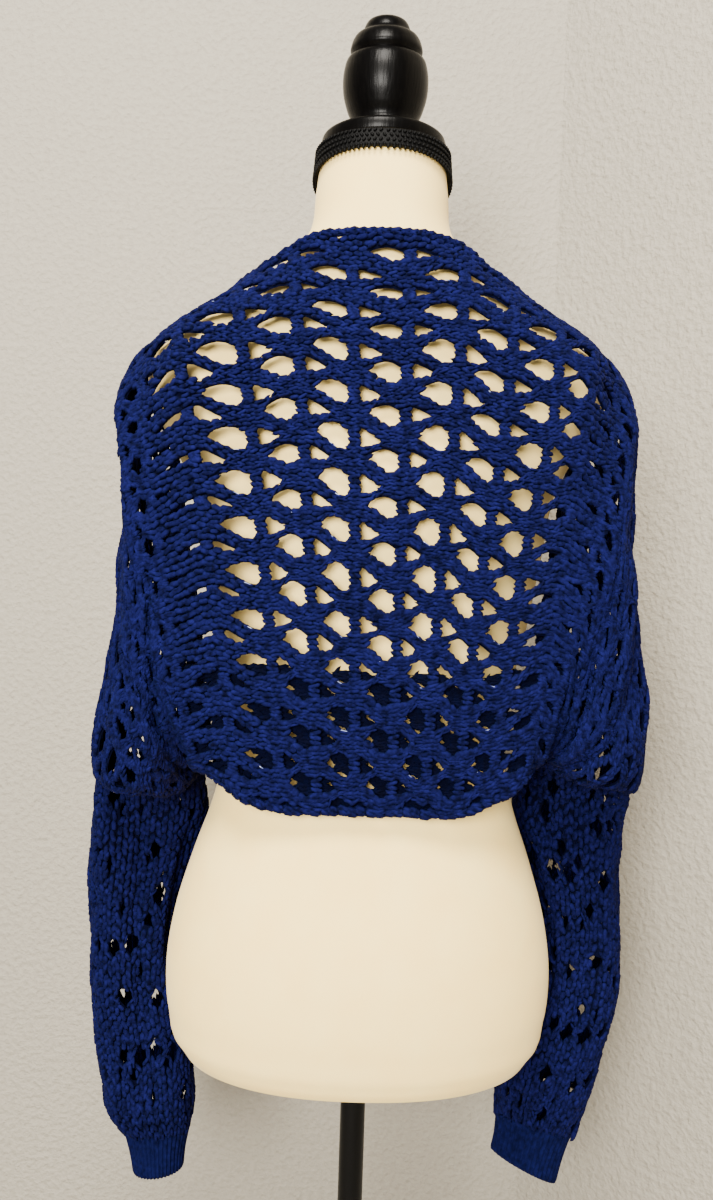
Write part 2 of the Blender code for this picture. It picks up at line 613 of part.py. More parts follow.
def netPiece(name, cells, cutCells, bounds, deep=0.0):
    # A wall over the listed cells: outer skin, inner skin and the edges of every gap
    params, faces, known, gapPoints = [], [], {}, set()

    def index(point):
        key = (round(point[0] * 1000), round(point[1] * 1000))
        if key not in known:
            known[key] = len(params)
            params.append(point)
        return known[key]

    for step, row in cells:
        outline, whole = cellOutline(step, row, *bounds(row))
        if whole and (step, row) in cutCells:
            gap = [(step + a, row + b) for a, b in eyeGap]
            gapPoints.update(index(point) for point in gap)
            for face in ringTriangles(outline, gap):
                faces.append(tuple(index(outline[k] if kind == "o" else gap[k]) for kind, k in face))
        else:
            ids = [index(point) for point in outline]
            for k in range(1, len(ids) - 1):
                faces.append((ids[0], ids[k], ids[k + 1]))
    params = np.array(params, dtype=float)
    point, normal = netFrame(params[:, 0], params[:, 1])
    joined = {}
    for face in faces:
        for a, b in ((face[0], face[1]), (face[1], face[2]), (face[2], face[0])):
            joined[(a, b)] = tuple(params[a]) < tuple(params[b])
    borders = [(a, b) for a, b in joined if (b, a) not in joined and not (a in gapPoints and b in gapPoints)]
    point = point + borderShift(point, normal, borders)
    outer = point - normal * deep
    inner = point - normal * (deep + clothThickness)
    count = len(params)
    solid = list(faces) + [tuple(reversed([i + count for i in face])) for face in faces]
    for (a, b), rising in joined.items():
        if (b, a) not in joined and rising:
            solid.append((b, a, b + count))
            solid.append((a, a + count, b + count))
        elif (b, a) not in joined:
            solid.append((b, a, a + count))
            solid.append((b, a + count, b + count))
    return makeObject(name, np.concatenate([outer, inner]), solid, yarnBlue)


def cellsIn(lowStep, highStep, lowRow, highRow, moved=0):
    found = []
    for step in range(lowStep, highStep + 1):
        for half in range(int(lowRow * 2), int(highRow * 2) + 1):
            if isEye(step + moved, half / 2):
                found.append((step, half / 2))
    return found


def borderShift(point, normal, borders):
    # Draws a piece's border a little into the piece, which leaves the seam gap beside its neighbour
    shift = np.zeros((len(point), 3))
    for a, b in borders:
        along = point[b] - point[a]
        for end in (a, b):
            inward = np.cross(normal[end], along)
            shift[end] += inward / max(float(np.linalg.norm(inward)), 1e-12)
    length = np.linalg.norm(shift, axis=1)
    scale = seamShift * 2 / np.maximum(length, 0.7) ** 2
    return shift * scale[:, None]


def makeBody():
    cells = cellsIn(1 - armholeStep, armholeStep - 1, neckRow, hemRow)

    def bounds(row):
        return -armholeStep, armholeStep, neckRow, hemRow

    netPiece("body_panel", cells, set(cells), bounds)


def makeTurnUp():
    # The hem's turned-up layer lies against the inside of the back, its eyes behind the back's bars
    lowRow = hemRow - turnUpRows
    cells = cellsIn(-turnUpSteps, turnUpSteps, lowRow, hemRow, 1)

    def bounds(row):
        return -turnUpSteps, turnUpSteps, lowRow, hemRow

    netPiece("hem_turn_up", cells, set(cells), bounds, clothThickness + seamGap)


def sleeveGaps(cells, isBack):
    # The widest gaps of the sleeves: the outer bag, the shoulder and the lower sleeve
    chosen = set()
    for step, row in cells:
        reach = abs(step)
        bag = reach <= 12 and row <= 9.0 - 0.22 * max(0, reach - 5)
        lower = 15 <= reach <= 20 and row <= 8.5
        shoulder = reach <= 9 and row >= 1.0
        if (isBack and (bag or lower)) or (not isBack and shoulder):
            chosen.add((step, row))
    return chosen


def makeSleeve(side, word):
    # Each sleeve is a tube of two halves, split along the outer fold and the underarm seam
    lowRow = hemRow - netRows
    first, last = sorted((side * armholeStep, side * cuffStep))

    def bounds(row):
        edge = armholeStep - 1 if row > neckRow else armholeStep
        return tuple(sorted((side * edge, side * cuffStep))) + (lowRow, hemRow)

    backCells = cellsIn(first, last, foldRow, hemRow)
    frontCells = cellsIn(first, last, lowRow, foldRow - 0.5)
    netPiece("sleeve_" + word + "_back", backCells, sleeveGaps(backCells, True), bounds)
    netPiece("sleeve_" + word + "_front", frontCells, sleeveGaps(frontCells, False), bounds)


def cuffCurve(side, read, fullness):
    outer = np.array([side * read["outX"], cuffMiddleY, read["outZ"]])
    inner = np.array([side * read["inX"], cuffMiddleY, read["inZ"]])
    across = (outer[0] + inner[0]) / 2
    back = np.array([across, read["backY"], read["backZ"]])
    front = np.array([across, read["frontY"], read["frontZ"]])
    curve = ringCurve(outer, inner, back, front, fullness, 240)
    return np.concatenate([curve, curve[:1]])


def makeCuff(name, sleeveRings, rim, side):
    # Ribs stand out of the tube's outer side over a plain inside; its top meets the sleeve's last ring
    perRib = 2
    around = ribCount * perRib
    sleeveEnd = dict(zip(ringColumns, sleeveRings[-1]))
    top = cuffCurve(side, sleeveEnd, sleeveFullness) - np.array([0.0, 0.0, seamGap * 2])
    bottom = cuffCurve(side, dict(zip(cuffColumns, rim)), 2.0)
    outerPoints, innerPoints = [], []
    for loop in (top, bottom):
        loop = alongCurve(loop, np.arange(around) / around)
        outward = loop - loop.mean(axis=0)
        outward /= np.linalg.norm(outward, axis=1)[:, None]
        rib = np.where(np.arange(around) % perRib == 0, 0.0, ribHeight)[:, None]
        outerPoints.append(loop - outward * rib)
        innerPoints.append(loop - outward * (cuffThickness + ribHeight))
    if side > 0:
        outerPoints = [ring[::-1] for ring in outerPoints]
        innerPoints = [ring[::-1] for ring in innerPoints]
    points = np.concatenate(outerPoints + innerPoints)
    rows = 2
    faces = []
    for k in range(rows - 1):
        faces += bandFaces(k * around, (k + 1) * around, around)
        inside = bandFaces((rows + k) * around, (rows + k + 1) * around, around)
        faces += [tuple(reversed(face)) for face in inside]
    faces += bandFaces(rows * around, 0, around)
    faces += bandFaces((rows - 1) * around, (2 * rows - 1) * around, around)
    return makeObject(name, points, faces, yarnBlue)


makeTorso()
makeTrim()
makeStand()
makeBody()
makeTurnUp()
makeSleeve(1, "left")
makeSleeve(-1, "right")
makeCuff("cuff_left", leftRings, leftCuffRim, 1)
makeCuff("cuff_right", rightRings, rightCuffRim, -1)
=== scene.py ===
# Open-knit shrug worn on a dress form, seen from the back.
# Metres, +Z up, the back of the form toward +Y and the wearer's left at +X.

import math

import bpy
import numpy as np
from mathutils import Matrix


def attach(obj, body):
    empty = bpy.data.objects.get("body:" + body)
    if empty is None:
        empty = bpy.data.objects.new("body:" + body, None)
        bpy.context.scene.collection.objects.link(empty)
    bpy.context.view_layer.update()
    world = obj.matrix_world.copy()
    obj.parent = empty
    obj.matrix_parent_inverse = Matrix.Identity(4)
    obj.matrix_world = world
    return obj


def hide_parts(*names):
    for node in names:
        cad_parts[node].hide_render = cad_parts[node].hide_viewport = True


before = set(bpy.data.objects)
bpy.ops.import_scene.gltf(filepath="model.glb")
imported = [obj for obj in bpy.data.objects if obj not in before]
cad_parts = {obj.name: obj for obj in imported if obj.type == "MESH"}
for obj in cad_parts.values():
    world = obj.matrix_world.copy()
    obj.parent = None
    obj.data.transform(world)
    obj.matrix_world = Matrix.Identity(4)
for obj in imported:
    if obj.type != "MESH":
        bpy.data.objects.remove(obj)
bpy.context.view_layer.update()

# camera: measured from the photograph's form, a phone's wide lens close to the back
cameraSetup = {"place": (0.0108, 0.976, 1.0), "tiltDown": 4.04, "roll": 1.8, "focalShare": 1133 / 1200}


def makeCamera():
    data = bpy.data.cameras.new("camera")
    data.sensor_fit = "VERTICAL"
    data.sensor_height = 24.0
    data.lens = 24.0 * cameraSetup["focalShare"]
    tilt = math.radians(cameraSetup["tiltDown"])
    roll = math.radians(cameraSetup["roll"])
    right = np.array([-1.0, 0.0, 0.0])
    up = np.array([0.0, -math.sin(tilt), math.cos(tilt)])
    back = np.array([0.0, math.cos(tilt), math.sin(tilt)])
    rolledRight = math.cos(roll) * right + math.sin(roll) * up
    rolledUp = math.cos(roll) * up - math.sin(roll) * right
    holder = bpy.data.objects.new("camera", data)
    matrix = np.eye(4)
    matrix[:3, 0], matrix[:3, 1], matrix[:3, 2] = rolledRight, rolledUp, back
    matrix[:3, 3] = cameraSetup["place"]
    holder.matrix_world = [list(row) for row in matrix.T]
    bpy.context.scene.collection.objects.link(holder)
    bpy.context.scene.camera = holder


makeCamera()
print("camera placed")

# small helpers


def readColumn(table, names, name, at):
    # smooth curve through one column of a table, against its first column
    keys = np.array([row[0] for row in table], dtype=float)
    values = np.array([row[names.index(name)] for row in table], dtype=float)
    slopes = np.gradient(values, keys)
    at = np.clip(np.asarray(at, dtype=float), keys[0], keys[-1])
    index = np.clip(np.searchsorted(keys, at, side="right") - 1, 0, len(keys) - 2)
    width = keys[index + 1] - keys[index]
    t = (at - keys[index]) / width
    return (
        (2 * t**3 - 3 * t**2 + 1) * values[index]
        + (t**3 - 2 * t**2 + t) * width * slopes[index]
        + (-2 * t**3 + 3 * t**2) * values[index + 1]
        + (t**3 - t**2) * width * slopes[index + 1]
    )


def alongCurve(points, shares):
    lengths = np.concatenate([[0.0], np.cumsum(np.linalg.norm(np.diff(points, axis=0), axis=1))])
    wanted = np.asarray(shares) * lengths[-1]
    return np.stack([np.interp(wanted, lengths, points[:, axis]) for axis in range(3)], axis=1)


def unit(vectors):
    return vectors / np.maximum(np.linalg.norm(vectors, axis=-1, keepdims=True), 1e-12)


def meshPiece(name, points, faces, material):
    # one object from points and one array of faces, or a list of arrays that differ in their corners
    groups = faces if isinstance(faces, list) else [faces]
    mesh = bpy.data.meshes.new(name)
    corners = np.concatenate([group.reshape(-1) for group in groups]).astype(np.int32)
    sizes = np.concatenate([np.full(len(group), group.shape[1]) for group in groups]).astype(np.int32)
    starts = np.concatenate([[0], np.cumsum(sizes)[:-1]]).astype(np.int32)
    mesh.vertices.add(len(points))
    mesh.vertices.foreach_set("co", np.asarray(points, dtype=np.float32).reshape(-1))
    mesh.loops.add(len(corners))
    mesh.loops.foreach_set("vertex_index", corners)
    mesh.polygons.add(len(sizes))
    mesh.polygons.foreach_set("loop_start", starts)
    mesh.polygons.foreach_set("use_smooth", np.full(len(sizes), True))
    mesh.update(calc_edges=True)
    mesh.materials.append(material)
    piece = bpy.data.objects.new(name, mesh)
    bpy.context.scene.collection.objects.link(piece)
    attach(piece, "root")
    return piece


def ringFaces(rings, around):
    # quads between closed rings of points, each ring after the one before it
    faces = []
    for k in range(rings - 1):
        for i in range(around):
            j = (i + 1) % around
            faces.append((k * around + i, k * around + j, (k + 1) * around + j, (k + 1) * around + i))
    return np.array(faces)


# materials


def newMaterial(name, colour, roughness, metallic=0.0):
    material = bpy.data.materials.new(name)
    material.use_nodes = True
    shader = material.node_tree.nodes["Principled BSDF"]
    shader.inputs["Base Color"].default_value = (*colour, 1.0)
    shader.inputs["Roughness"].default_value = roughness
    shader.inputs["Metallic"].default_value = metallic
    return material, material.node_tree.nodes, material.node_tree.links, shader


def mixedColour(nodes, links, shader, factor, dark, light):
    ramp = nodes.new("ShaderNodeValToRGB")
    ramp.color_ramp.elements[0].color = (*dark, 1.0)
    ramp.color_ramp.elements[0].position = 0.3
    ramp.color_ramp.elements[1].color = (*light, 1.0)
    ramp.color_ramp.elements[1].position = 0.7
    links.new(factor, ramp.inputs["Fac"])
    links.new(ramp.outputs["Color"], shader.inputs["Base Color"])


def noiseAt(nodes, links, scale, detail, stretch=None):
    place = nodes.new("ShaderNodeTexCoord")
    noise = nodes.new("ShaderNodeTexNoise")
    noise.inputs["Scale"].default_value = scale
    noise.inputs["Detail"].default_value = detail
    if stretch:
        mapping = nodes.new("ShaderNodeMapping")
        mapping.inputs["Scale"].default_value = stretch
        links.new(place.outputs["Object"], mapping.inputs["Vector"])
        links.new(mapping.outputs["Vector"], noise.inputs["Vector"])
    else:
        links.new(place.outputs["Object"], noise.inputs["Vector"])
    return noise


def addBump(nodes, links, shader, height, strength, distance):
    bump = nodes.new("ShaderNodeBump")
    bump.inputs["Strength"].default_value = strength
    bump.inputs["Distance"].default_value = distance
    links.new(height, bump.inputs["Height"])
    links.new(bump.outputs["Normal"], shader.inputs["Normal"])


yarnLook = {
    "stitches": ((0.0003, 0.0006, 0.0080), (0.0048, 0.0053, 0.0560)),
    # the ground's tones are painted shade: the sheet that shows between the stitches is made far darker than
    # the yarn, to darken the crevices
    "shadedGround": ((0.0002, 0.0004, 0.0045), (0.0004, 0.0009, 0.0110)),
    "rib": ((0.0006, 0.0012, 0.0140), (0.0030, 0.0042, 0.0430)),
    "patch": 210.0,
    "fibre": 1500.0,
}


def makeYarn(name, tones, bumpDistance):
    # matt dyed yarn: patches between a dark and a light tone, with fine fibres; with the ground's far darker
    # tones it carries painted shade
    dark, light = tones
    material, nodes, links, shader = newMaterial(name, light, 0.92)
    shader.inputs["Sheen Weight"].default_value = 0.02
    shader.inputs["Sheen Roughness"].default_value = 0.5
    shader.inputs["Sheen Tint"].default_value = (0.10, 0.22, 1.0, 1.0)
    shader.inputs["Specular IOR Level"].default_value = 0.05
    patch = noiseAt(nodes, links, yarnLook["patch"], 3.0)
    mixedColour(nodes, links, shader, patch.outputs["Fac"], dark, light)
    fibre = noiseAt(nodes, links, yarnLook["fibre"], 3.0)
    addBump(nodes, links, shader, fibre.outputs["Fac"], 0.7, bumpDistance)
    return material


def makeShinyThread():
    # a thin glossy thread: its shine is real specular, and its pale blue-white specks are painted glints
    material, nodes, links, shader = newMaterial("edge thread with painted glints", (0.20, 0.27, 0.50), 0.22)
    shader.inputs["Specular IOR Level"].default_value = 0.9
    speck = noiseAt(nodes, links, 400.0, 2.0)
    mixedColour(nodes, links, shader, speck.outputs["Fac"], (0.02, 0.04, 0.18), (0.45, 0.52, 0.75))
    return material


def makeJersey():
    # fine knit over the form: narrow wales running down, faint mottling
    material, nodes, links, shader = newMaterial("cream jersey", (0.80, 0.70, 0.52), 0.88)
    shader.inputs["Sheen Weight"].default_value = 0.15
    shader.inputs["Specular IOR Level"].default_value = 0.3
    mottle = noiseAt(nodes, links, 26.0, 4.0)
    deepCream, paleCream = (0.985, 0.705, 0.235), (0.998, 0.750, 0.270)
    mixedColour(nodes, links, shader, mottle.outputs["Fac"], deepCream, paleCream)
    wales = noiseAt(nodes, links, 900.0, 2.0, (1.0, 1.0, 0.35))
    addBump(nodes, links, shader, wales.outputs["Fac"], 0.35, 0.0004)
    return material


def makeWood():
    # satin black over turned wood, its grain running up
    material, nodes, links, shader = newMaterial("black turned wood", (0.001, 0.001, 0.001), 0.30)
    shader.inputs["Specular IOR Level"].default_value = 0.08
    grain = noiseAt(nodes, links, 420.0, 5.0, (1.0, 1.0, 0.10))
    poreBlack, woodBlack = (0.0004, 0.0003, 0.0003), (0.0012, 0.0010, 0.0009)
    mixedColour(nodes, links, shader, grain.outputs["Fac"], poreBlack, woodBlack)
    addBump(nodes, links, shader, grain.outputs["Fac"], 0.35, 0.0006)
    return material


def makeBraid():
    material, nodes, links, shader = newMaterial("black braid", (0.001, 0.001, 0.001), 0.6)
    shader.inputs["Specular IOR Level"].default_value = 0.10
    thread = noiseAt(nodes, links, 1400.0, 3.0)
    braidShadow, braidBlack = (0.0003, 0.0003, 0.0003), (0.0016, 0.0015, 0.0016)
    mixedColour(nodes, links, shader, thread.outputs["Fac"], braidShadow, braidBlack)
    addBump(nodes, links, shader, thread.outputs["Fac"], 0.6, 0.0005)
    return material


def makeMetal():
    material, nodes, links, shader = newMaterial("black painted steel", (0.002, 0.002, 0.002), 0.36, 0.1)
    shader.inputs["Specular IOR Level"].default_value = 0.14
    speck = noiseAt(nodes, links, 700.0, 4.0)
    paintShadow, paintBlack = (0.0008, 0.0008, 0.0009), (0.0024, 0.0024, 0.0026)
    mixedColour(nodes, links, shader, speck.outputs["Fac"], paintShadow, paintBlack)
    addBump(nodes, links, shader, speck.outputs["Fac"], 0.15, 0.0003)
    return material


yarn = makeYarn("cobalt yarn", yarnLook["stitches"], 0.0006)
# the same yarn darkened with painted shade, for the ground sheet and the turn-up's stitches
yarnPaintedShade = makeYarn("cobalt yarn in painted shade", yarnLook["shadedGround"], 0.0008)
yarnRib = makeYarn("cobalt rib knit", yarnLook["rib"], 0.0006)
shinyThread = makeShinyThread()
jersey = makeJersey()
wood = makeWood()
braid = makeBraid()
metal = makeMetal()
print("materials made")

# the form: sections from the hips to the top of the neck

form = {
    "fullness": 2.25,
    "around": 128,
    "neckTop": 1.3055,
    "neckLean": 0.095,
    "capThickness": 0.012,
    "bottomEdge": (0.533, 0.5342, 0.536, 0.540),
    "ringSpacing": 0.007,
    "names": ("height", "halfWidth", "front", "back", "lean"),
    "sections": (
        (0.533, 0.128, 0.086, 0.088, 0.0),
        (0.536, 0.141, 0.097, 0.101, 0.0),
        (0.547, 0.1550, 0.106, 0.111, 0.0),
        (0.575, 0.1640, 0.112, 0.119, 0.0),
        (0.612, 0.1668, 0.114, 0.122, 0.0),
        (0.660, 0.1605, 0.108, 0.118, 0.0),
        (0.710, 0.1460, 0.100, 0.105, 0.0),
        (0.760, 0.1290, 0.093, 0.091, 0.0),
        (0.805, 0.1205, 0.090, 0.083, 0.0),
        (0.860, 0.1250, 0.096, 0.083, 0.0),
        (0.920, 0.1370, 0.110, 0.089, 0.0),
        (0.975, 0.1460, 0.121, 0.095, 0.0),
        (1.030, 0.1560, 0.114, 0.098, 0.0),
        (1.075, 0.1800, 0.090, 0.092, 0.0),
        (1.103, 0.1920, 0.074, 0.084, 0.0),
        (1.128, 0.1900, 0.066, 0.079, 0.0),
        (1.1415, 0.1805, 0.061, 0.076, 0.0),
        (1.1534, 0.1640, 0.058, 0.073, 0.0),
        (1.1783, 0.1240, 0.055, 0.069, 0.0),
        (1.1883, 0.1110, 0.054, 0.067, 0.0),
        (1.2098, 0.0840, 0.0535, 0.063, 0.01),
        (1.234, 0.0620, 0.053, 0.058, 0.04),
        (1.270, 0.0555, 0.053, 0.055, 0.07),
        (1.3055, 0.0520, 0.052, 0.053, 0.095),
    ),
}


def formPoint(turn, height, grow=0.0, level=None):
    # a point of the form's skin, moved out by grow; level sets its height outright
    read = {name: readColumn(form["sections"], form["names"], name, height) for name in form["names"][1:]}
    across = np.abs(np.cos(turn)) ** (2 / form["fullness"]) * np.sign(np.cos(turn))
    along = np.abs(np.sin(turn)) ** (2 / form["fullness"]) * np.sign(np.sin(turn))
    depth = np.where(along > 0, read["back"], read["front"])
    y = (depth + grow) * along
    lift = read["lean"] * y if level is None else level - height
    return np.stack([(read["halfWidth"] + grow) * across, y, height + lift], axis=-1)


def cappedRings(rings, around):
    # faces of stacked rings with a disc at each end
    count = len(rings)
    points = np.concatenate(rings + [rings[0].mean(axis=0)[None], rings[-1].mean(axis=0)[None]])
    low, high = count * around, count * around + 1
    nextOne = (np.arange(around) + 1) % around
    bottom = np.stack([np.full(around, low), nextOne, np.arange(around)], axis=1)
    lastRing = (count - 1) * around
    top = np.stack([np.full(around, high), np.arange(around) + lastRing, nextOne + lastRing], axis=1)
    return points, [ringFaces(count, around), bottom, top]


def makeForm():
    around = form["around"]
    turn = np.linspace(0, 2 * math.pi, around, endpoint=False)
    first = form["bottomEdge"][-1] + form["ringSpacing"]
    between = np.arange(first, form["neckTop"] - 0.004, form["ringSpacing"])
    heights = np.concatenate([form["bottomEdge"], between, [form["neckTop"]]])
    rings = [formPoint(turn, np.full(around, height)) for height in heights]
    points, faces = cappedRings(rings, around)
    body = meshPiece("form_body", points, faces, jersey)
    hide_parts("torso")


def turnedRings(profile, around, height, leans=None):
    turn = np.linspace(0, 2 * math.pi, around, endpoint=False)
    rings = []
    for k, (radius, level) in enumerate(profile):
        lean = 0.0 if leans is None else leans[k]
        y = radius * np.sin(turn)
        rings.append(np.stack([radius * np.cos(turn), y, height + level + lean * y], axis=1))
    return rings


def smoothProfile(profile, count):
    # a rounder line through the turner's sizes
    profile = np.array(profile)
    lengths = np.concatenate([[0.0], np.cumsum(np.linalg.norm(np.diff(profile, axis=0), axis=1))])
    table = [(length, *row) for length, row in zip(lengths, profile)]
    at = np.linspace(0, lengths[-1], count)
    names = ("length", "radius", "level")
    return np.stack([readColumn(table, names, name, at) for name in names[1:]], axis=1)


# each turned piece is a line of radius and level, from its foot up
stand = {
    "around": 96,
    "seam": 0.0003,
    "finial": (
        (0.0290, 0.0000), (0.0302, 0.0055), (0.0280, 0.0130), (0.0315, 0.0230), (0.0348, 0.0345),
        (0.0358, 0.0450), (0.0350, 0.0555), (0.0324, 0.0640), (0.0283, 0.0682), (0.0299, 0.0702),
        (0.0293, 0.0765), (0.0257, 0.0833), (0.0199, 0.0868), (0.0192, 0.0898), (0.0165, 0.0950),
        (0.0097, 0.0985),
    ),
    "cap": (
        (0.0500, 0.0000), (0.0515, 0.0006), (0.0520, 0.0020), (0.0520, 0.0085), (0.0512, 0.0105),
        (0.0490, 0.0120),
    ),
    "base": (
        (0.1480, 0.0000), (0.1495, 0.0006), (0.1500, 0.0020), (0.1500, 0.0060), (0.1492, 0.0085),
        (0.1470, 0.0106), (0.1440, 0.0120),
    ),
    "collar": (
        (0.0270, 0.0000), (0.0268, 0.0015), (0.0235, 0.0050), (0.0215, 0.0080), (0.0210, 0.0120),
        (0.0210, 0.0420), (0.0204, 0.0443), (0.0190, 0.0450),
    ),
    "poleRadius": 0.011,
    "baseTop": 0.012,
    "collarTop": 0.0573,
    "poleTop": 0.5327,
}


def makeStand():
    around, seam = stand["around"], stand["seam"]
    capHeight = form["neckTop"] + seam
    finialHeight = capHeight + form["capThickness"] + seam
    finialLine = smoothProfile(stand["finial"], 70)
    # the finial's foot leans with the cap and is level a little higher up
    finialLeans = [form["neckLean"] * max(0.0, 1.0 - level / 0.004) for radius, level in finialLine]
    capLeans = [form["neckLean"]] * len(stand["cap"])
    poleFoot = stand["collarTop"] + seam
    poleLine = ((stand["poleRadius"], 0.0), (stand["poleRadius"], stand["poleTop"] - poleFoot))
    turned = (
        ("stand_finial", finialLine, finialHeight, finialLeans, "finial"),
        ("stand_cap", stand["cap"], capHeight, capLeans, "neck_cap"),
        ("stand_base", stand["base"], 0.0, None, "base"),
        ("stand_collar", stand["collar"], stand["baseTop"] + seam, None, "collar"),
        ("stand_pole", poleLine, poleFoot, None, "pole"),
    )
    for name, profile, height, leans, node in turned:
        material, slot = (metal, "metal_black") if leans is None else (wood, "wood_black")
        points, faces = cappedRings(turnedRings(profile, around, height, leans), around)
        piece = meshPiece(name, points, faces, material)
        piece.data.set_sharp_from_angle(angle=math.radians(50))
        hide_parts(node)


# the braid around the top of the neck: a band with plaited rows and a scalloped lower edge
trim = {
    "lowHeight": 1.2825,
    "lowLean": 0.25,
    "thickness": 0.0026,
    "clearance": 0.0012,
    "around": 144,
    "plaits": 44,
    "rows": 4,
    "edgeRow": -0.02,
    "slant": 1.1,
    "edgeSlant": 6.0,
}


def trimPoint(turn, share, grow):
    y = 0.053 * np.sin(turn)
    low = trim["lowHeight"] + trim["lowLean"] * y
    high = form["neckTop"] - 0.0003 + form["neckLean"] * y
    height = low * (1 - share) + high * share
    return formPoint(turn, height - form["neckLean"] * y, grow, height)


def makeTrim():
    around = trim["around"]
    turn = np.linspace(0, 2 * math.pi, around, endpoint=False)
    # the band's section: shares of its height, and how full its thickness is there
    section = (
        (0.0, 0.0), (0.0, 0.6), (0.03, 1.0), (0.25, 1.0), (0.5, 1.0), (0.75, 1.0), (0.97, 1.0),
        (1.0, 0.6), (1.0, 0.0),
    )
    rings = []
    for share, full in section:
        grow = trim["clearance"] + trim["thickness"] * 0.8 * full
        rings.append(trimPoint(turn, np.full(around, share), grow))
    rings.append(rings[0])
    points = np.concatenate(rings[:-1])
    faces = ringFaces(len(rings), around) % len(points)
    band = meshPiece("neck_braid", points, faces, braid)
    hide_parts("neck_trim")
    # plaited stitches on the band, each a small slanting grain
    count = trim["plaits"] * 2
    grow = trim["clearance"] + trim["thickness"]
    centres, alongs, normals = [], [], []
    for row in range(-1, trim["rows"]):
        share = trim["edgeRow"] if row < 0 else (row + 0.5) / trim["rows"]
        turns = (np.arange(count) + 0.5 * (row % 2)) / count * 2 * math.pi
        here = trimPoint(turns, np.full(count, share), grow)
        above = trimPoint(turns, np.full(count, min(1.0, share + 0.1)), grow)
        side = unit(trimPoint(turns + 0.02, np.full(count, share), grow) - here)
        rise = unit(above - here)
        slant = trim["edgeSlant"] if row < 0 else trim["slant"] if row % 2 else -trim["slant"]
        centres.append(here)
        alongs.append(unit(side + slant * rise))
        normals.append(unit(np.cross(side, rise)))
    centres, alongs, normals = (np.concatenate(part) for part in (centres, alongs, normals))
    plaitSize = (0.0021, 0.0012, 0.0011)
    grains("neck_braid_plait", centres, alongs, normals, plaitSize, braid)


def grains(name, centres, alongs, normals, size, material, sink=0.0008):
    # many plump legs of yarn, joined in one mesh: two tips and two rings of four points each;
    # size is the half length, half width and height, as numbers or one value for each leg
    count = len(centres)
    halfLength, halfWidth, height = (np.broadcast_to(value, count)[:, None] for value in size)
    sides = unit(np.cross(normals, alongs))
    points = [centres - alongs * halfLength - normals * sink]
    for share in (-0.5, 0.5):
        middle = centres + alongs * halfLength * share
        points.append(middle - sides * halfWidth - normals * sink * 0.4)
        points.append(middle - sides * halfWidth * 0.5 + normals * height)
        points.append(middle + sides * halfWidth * 0.5 + normals * height)
        points.append(middle + sides * halfWidth - normals * sink * 0.4)
    points.append(centres + alongs * halfLength - normals * sink)
    points = np.stack(points, axis=1).reshape(-1, 3)
    shape = np.array([
        (0, 2, 1), (0, 3, 2), (0, 4, 3),
        (1, 2, 6), (1, 6, 5), (2, 3, 7), (2, 7, 6), (3, 4, 8), (3, 8, 7),
        (5, 6, 9), (6, 7, 9), (7, 8, 9),
        (0, 1, 5), (0, 5, 9), (0, 9, 8), (0, 8, 4),
    ])
    faces = (np.arange(count)[:, None, None] * 10 + shape[None]).reshape(-1, 3)
    return meshPiece(name, points, faces, material)


makeForm()
makeStand()
makeTrim()
print("form and stand made")

# the shrug's surface: steps count the openwork's columns toward the wearer's left, rows count down the back

shrug = {
    "neckRow": 0.5,
    "hemRow": 13.5,
    "rowsAround": 20,
    "rowPitch": 0.0350,
    "hemHeight": 0.773,
    "hemCurve": 6.2,
    "hemFlat": 0.060,
    "liftRow": 4.0,
    "leftLift": 0.007,
    "netShift": 0.0085,
    "rightGather": 0.0030,
    "armholeStep": 4,
    "fanStep": 5,
    "elbowStep": 13,
    "cuffStep": 21,
    "shoulderRow": 1.75,
    "elbowRidgeRow": 3.25,
    "turnUpRows": 3,
    "turnUpReach": 5,
    "turnUpGap": 0.0035,
    "shoulderFullness": 2.4,
    "sleeveFullness": 2.15,
    "formClearance": 0.013,
    "frontReach": 0.95,
    "cloth": 0.003,
}
drapeNames = ("height", "halfWidth", "back", "front")
drapeSections = (
    (0.760, 0.2350, 0.1070, 0.110),
    (0.810, 0.2320, 0.1090, 0.115),
    (0.900, 0.2260, 0.1110, 0.122),
    (0.980, 0.2220, 0.1115, 0.134),
    (1.045, 0.2210, 0.1085, 0.124),
    (1.098, 0.2250, 0.1010, 0.094),
    (1.115, 0.2220, 0.0985, 0.084),
    (1.127, 0.2130, 0.0965, 0.078),
    (1.144, 0.1935, 0.0930, 0.072),
    (1.161, 0.1670, 0.0880, 0.068),
    (1.186, 0.1265, 0.0795, 0.066),
    (1.196, 0.1125, 0.0765, 0.065),
    (1.218, 0.0850, 0.0710, 0.064),
    (1.240, 0.0640, 0.0665, 0.064),
    (1.275, 0.0540, 0.0640, 0.062),
)
liftPlaces = (0.0, 0.020, 0.040, 0.055, 0.070, 0.085, 0.110, 0.150)
liftNames = ("row", "at0", "at20", "at40", "at55", "at70", "at85", "at110", "at150")
liftTable = (
    (0.5, 0.0040, 0.0040, 0.0050, 0.0072, 0.0050, 0.0005, 0.0, 0.0),
    (1.0, 0.0010, 0.0015, 0.0040, 0.0070, 0.0068, 0.0030, 0.0, 0.0),
    (1.5, 0.0015, 0.0020, 0.0036, 0.0068, 0.0080, 0.0045, 0.0, 0.0),
    (2.5, 0.0040, 0.0050, 0.0070, 0.0090, 0.0090, 0.0050, 0.0, 0.0),
    (3.5, 0.0065, 0.0075, 0.0090, 0.0105, 0.0085, 0.0045, 0.0, 0.0),
    (5.0, 0.0090, 0.0095, 0.0110, 0.0120, 0.0085, 0.0040, 0.0, 0.0),
    (7.0, 0.0080, 0.0085, 0.0095, 0.0100, 0.0070, 0.0030, 0.0, 0.0),
    (10.0, 0.0050, 0.0050, 0.0052, 0.0054, 0.0040, 0.0015, 0.0, 0.0),
    (13.5, 0.0, 0.0, 0.0, 0.0, 0.0, 0.0, 0.0, 0.0),
)
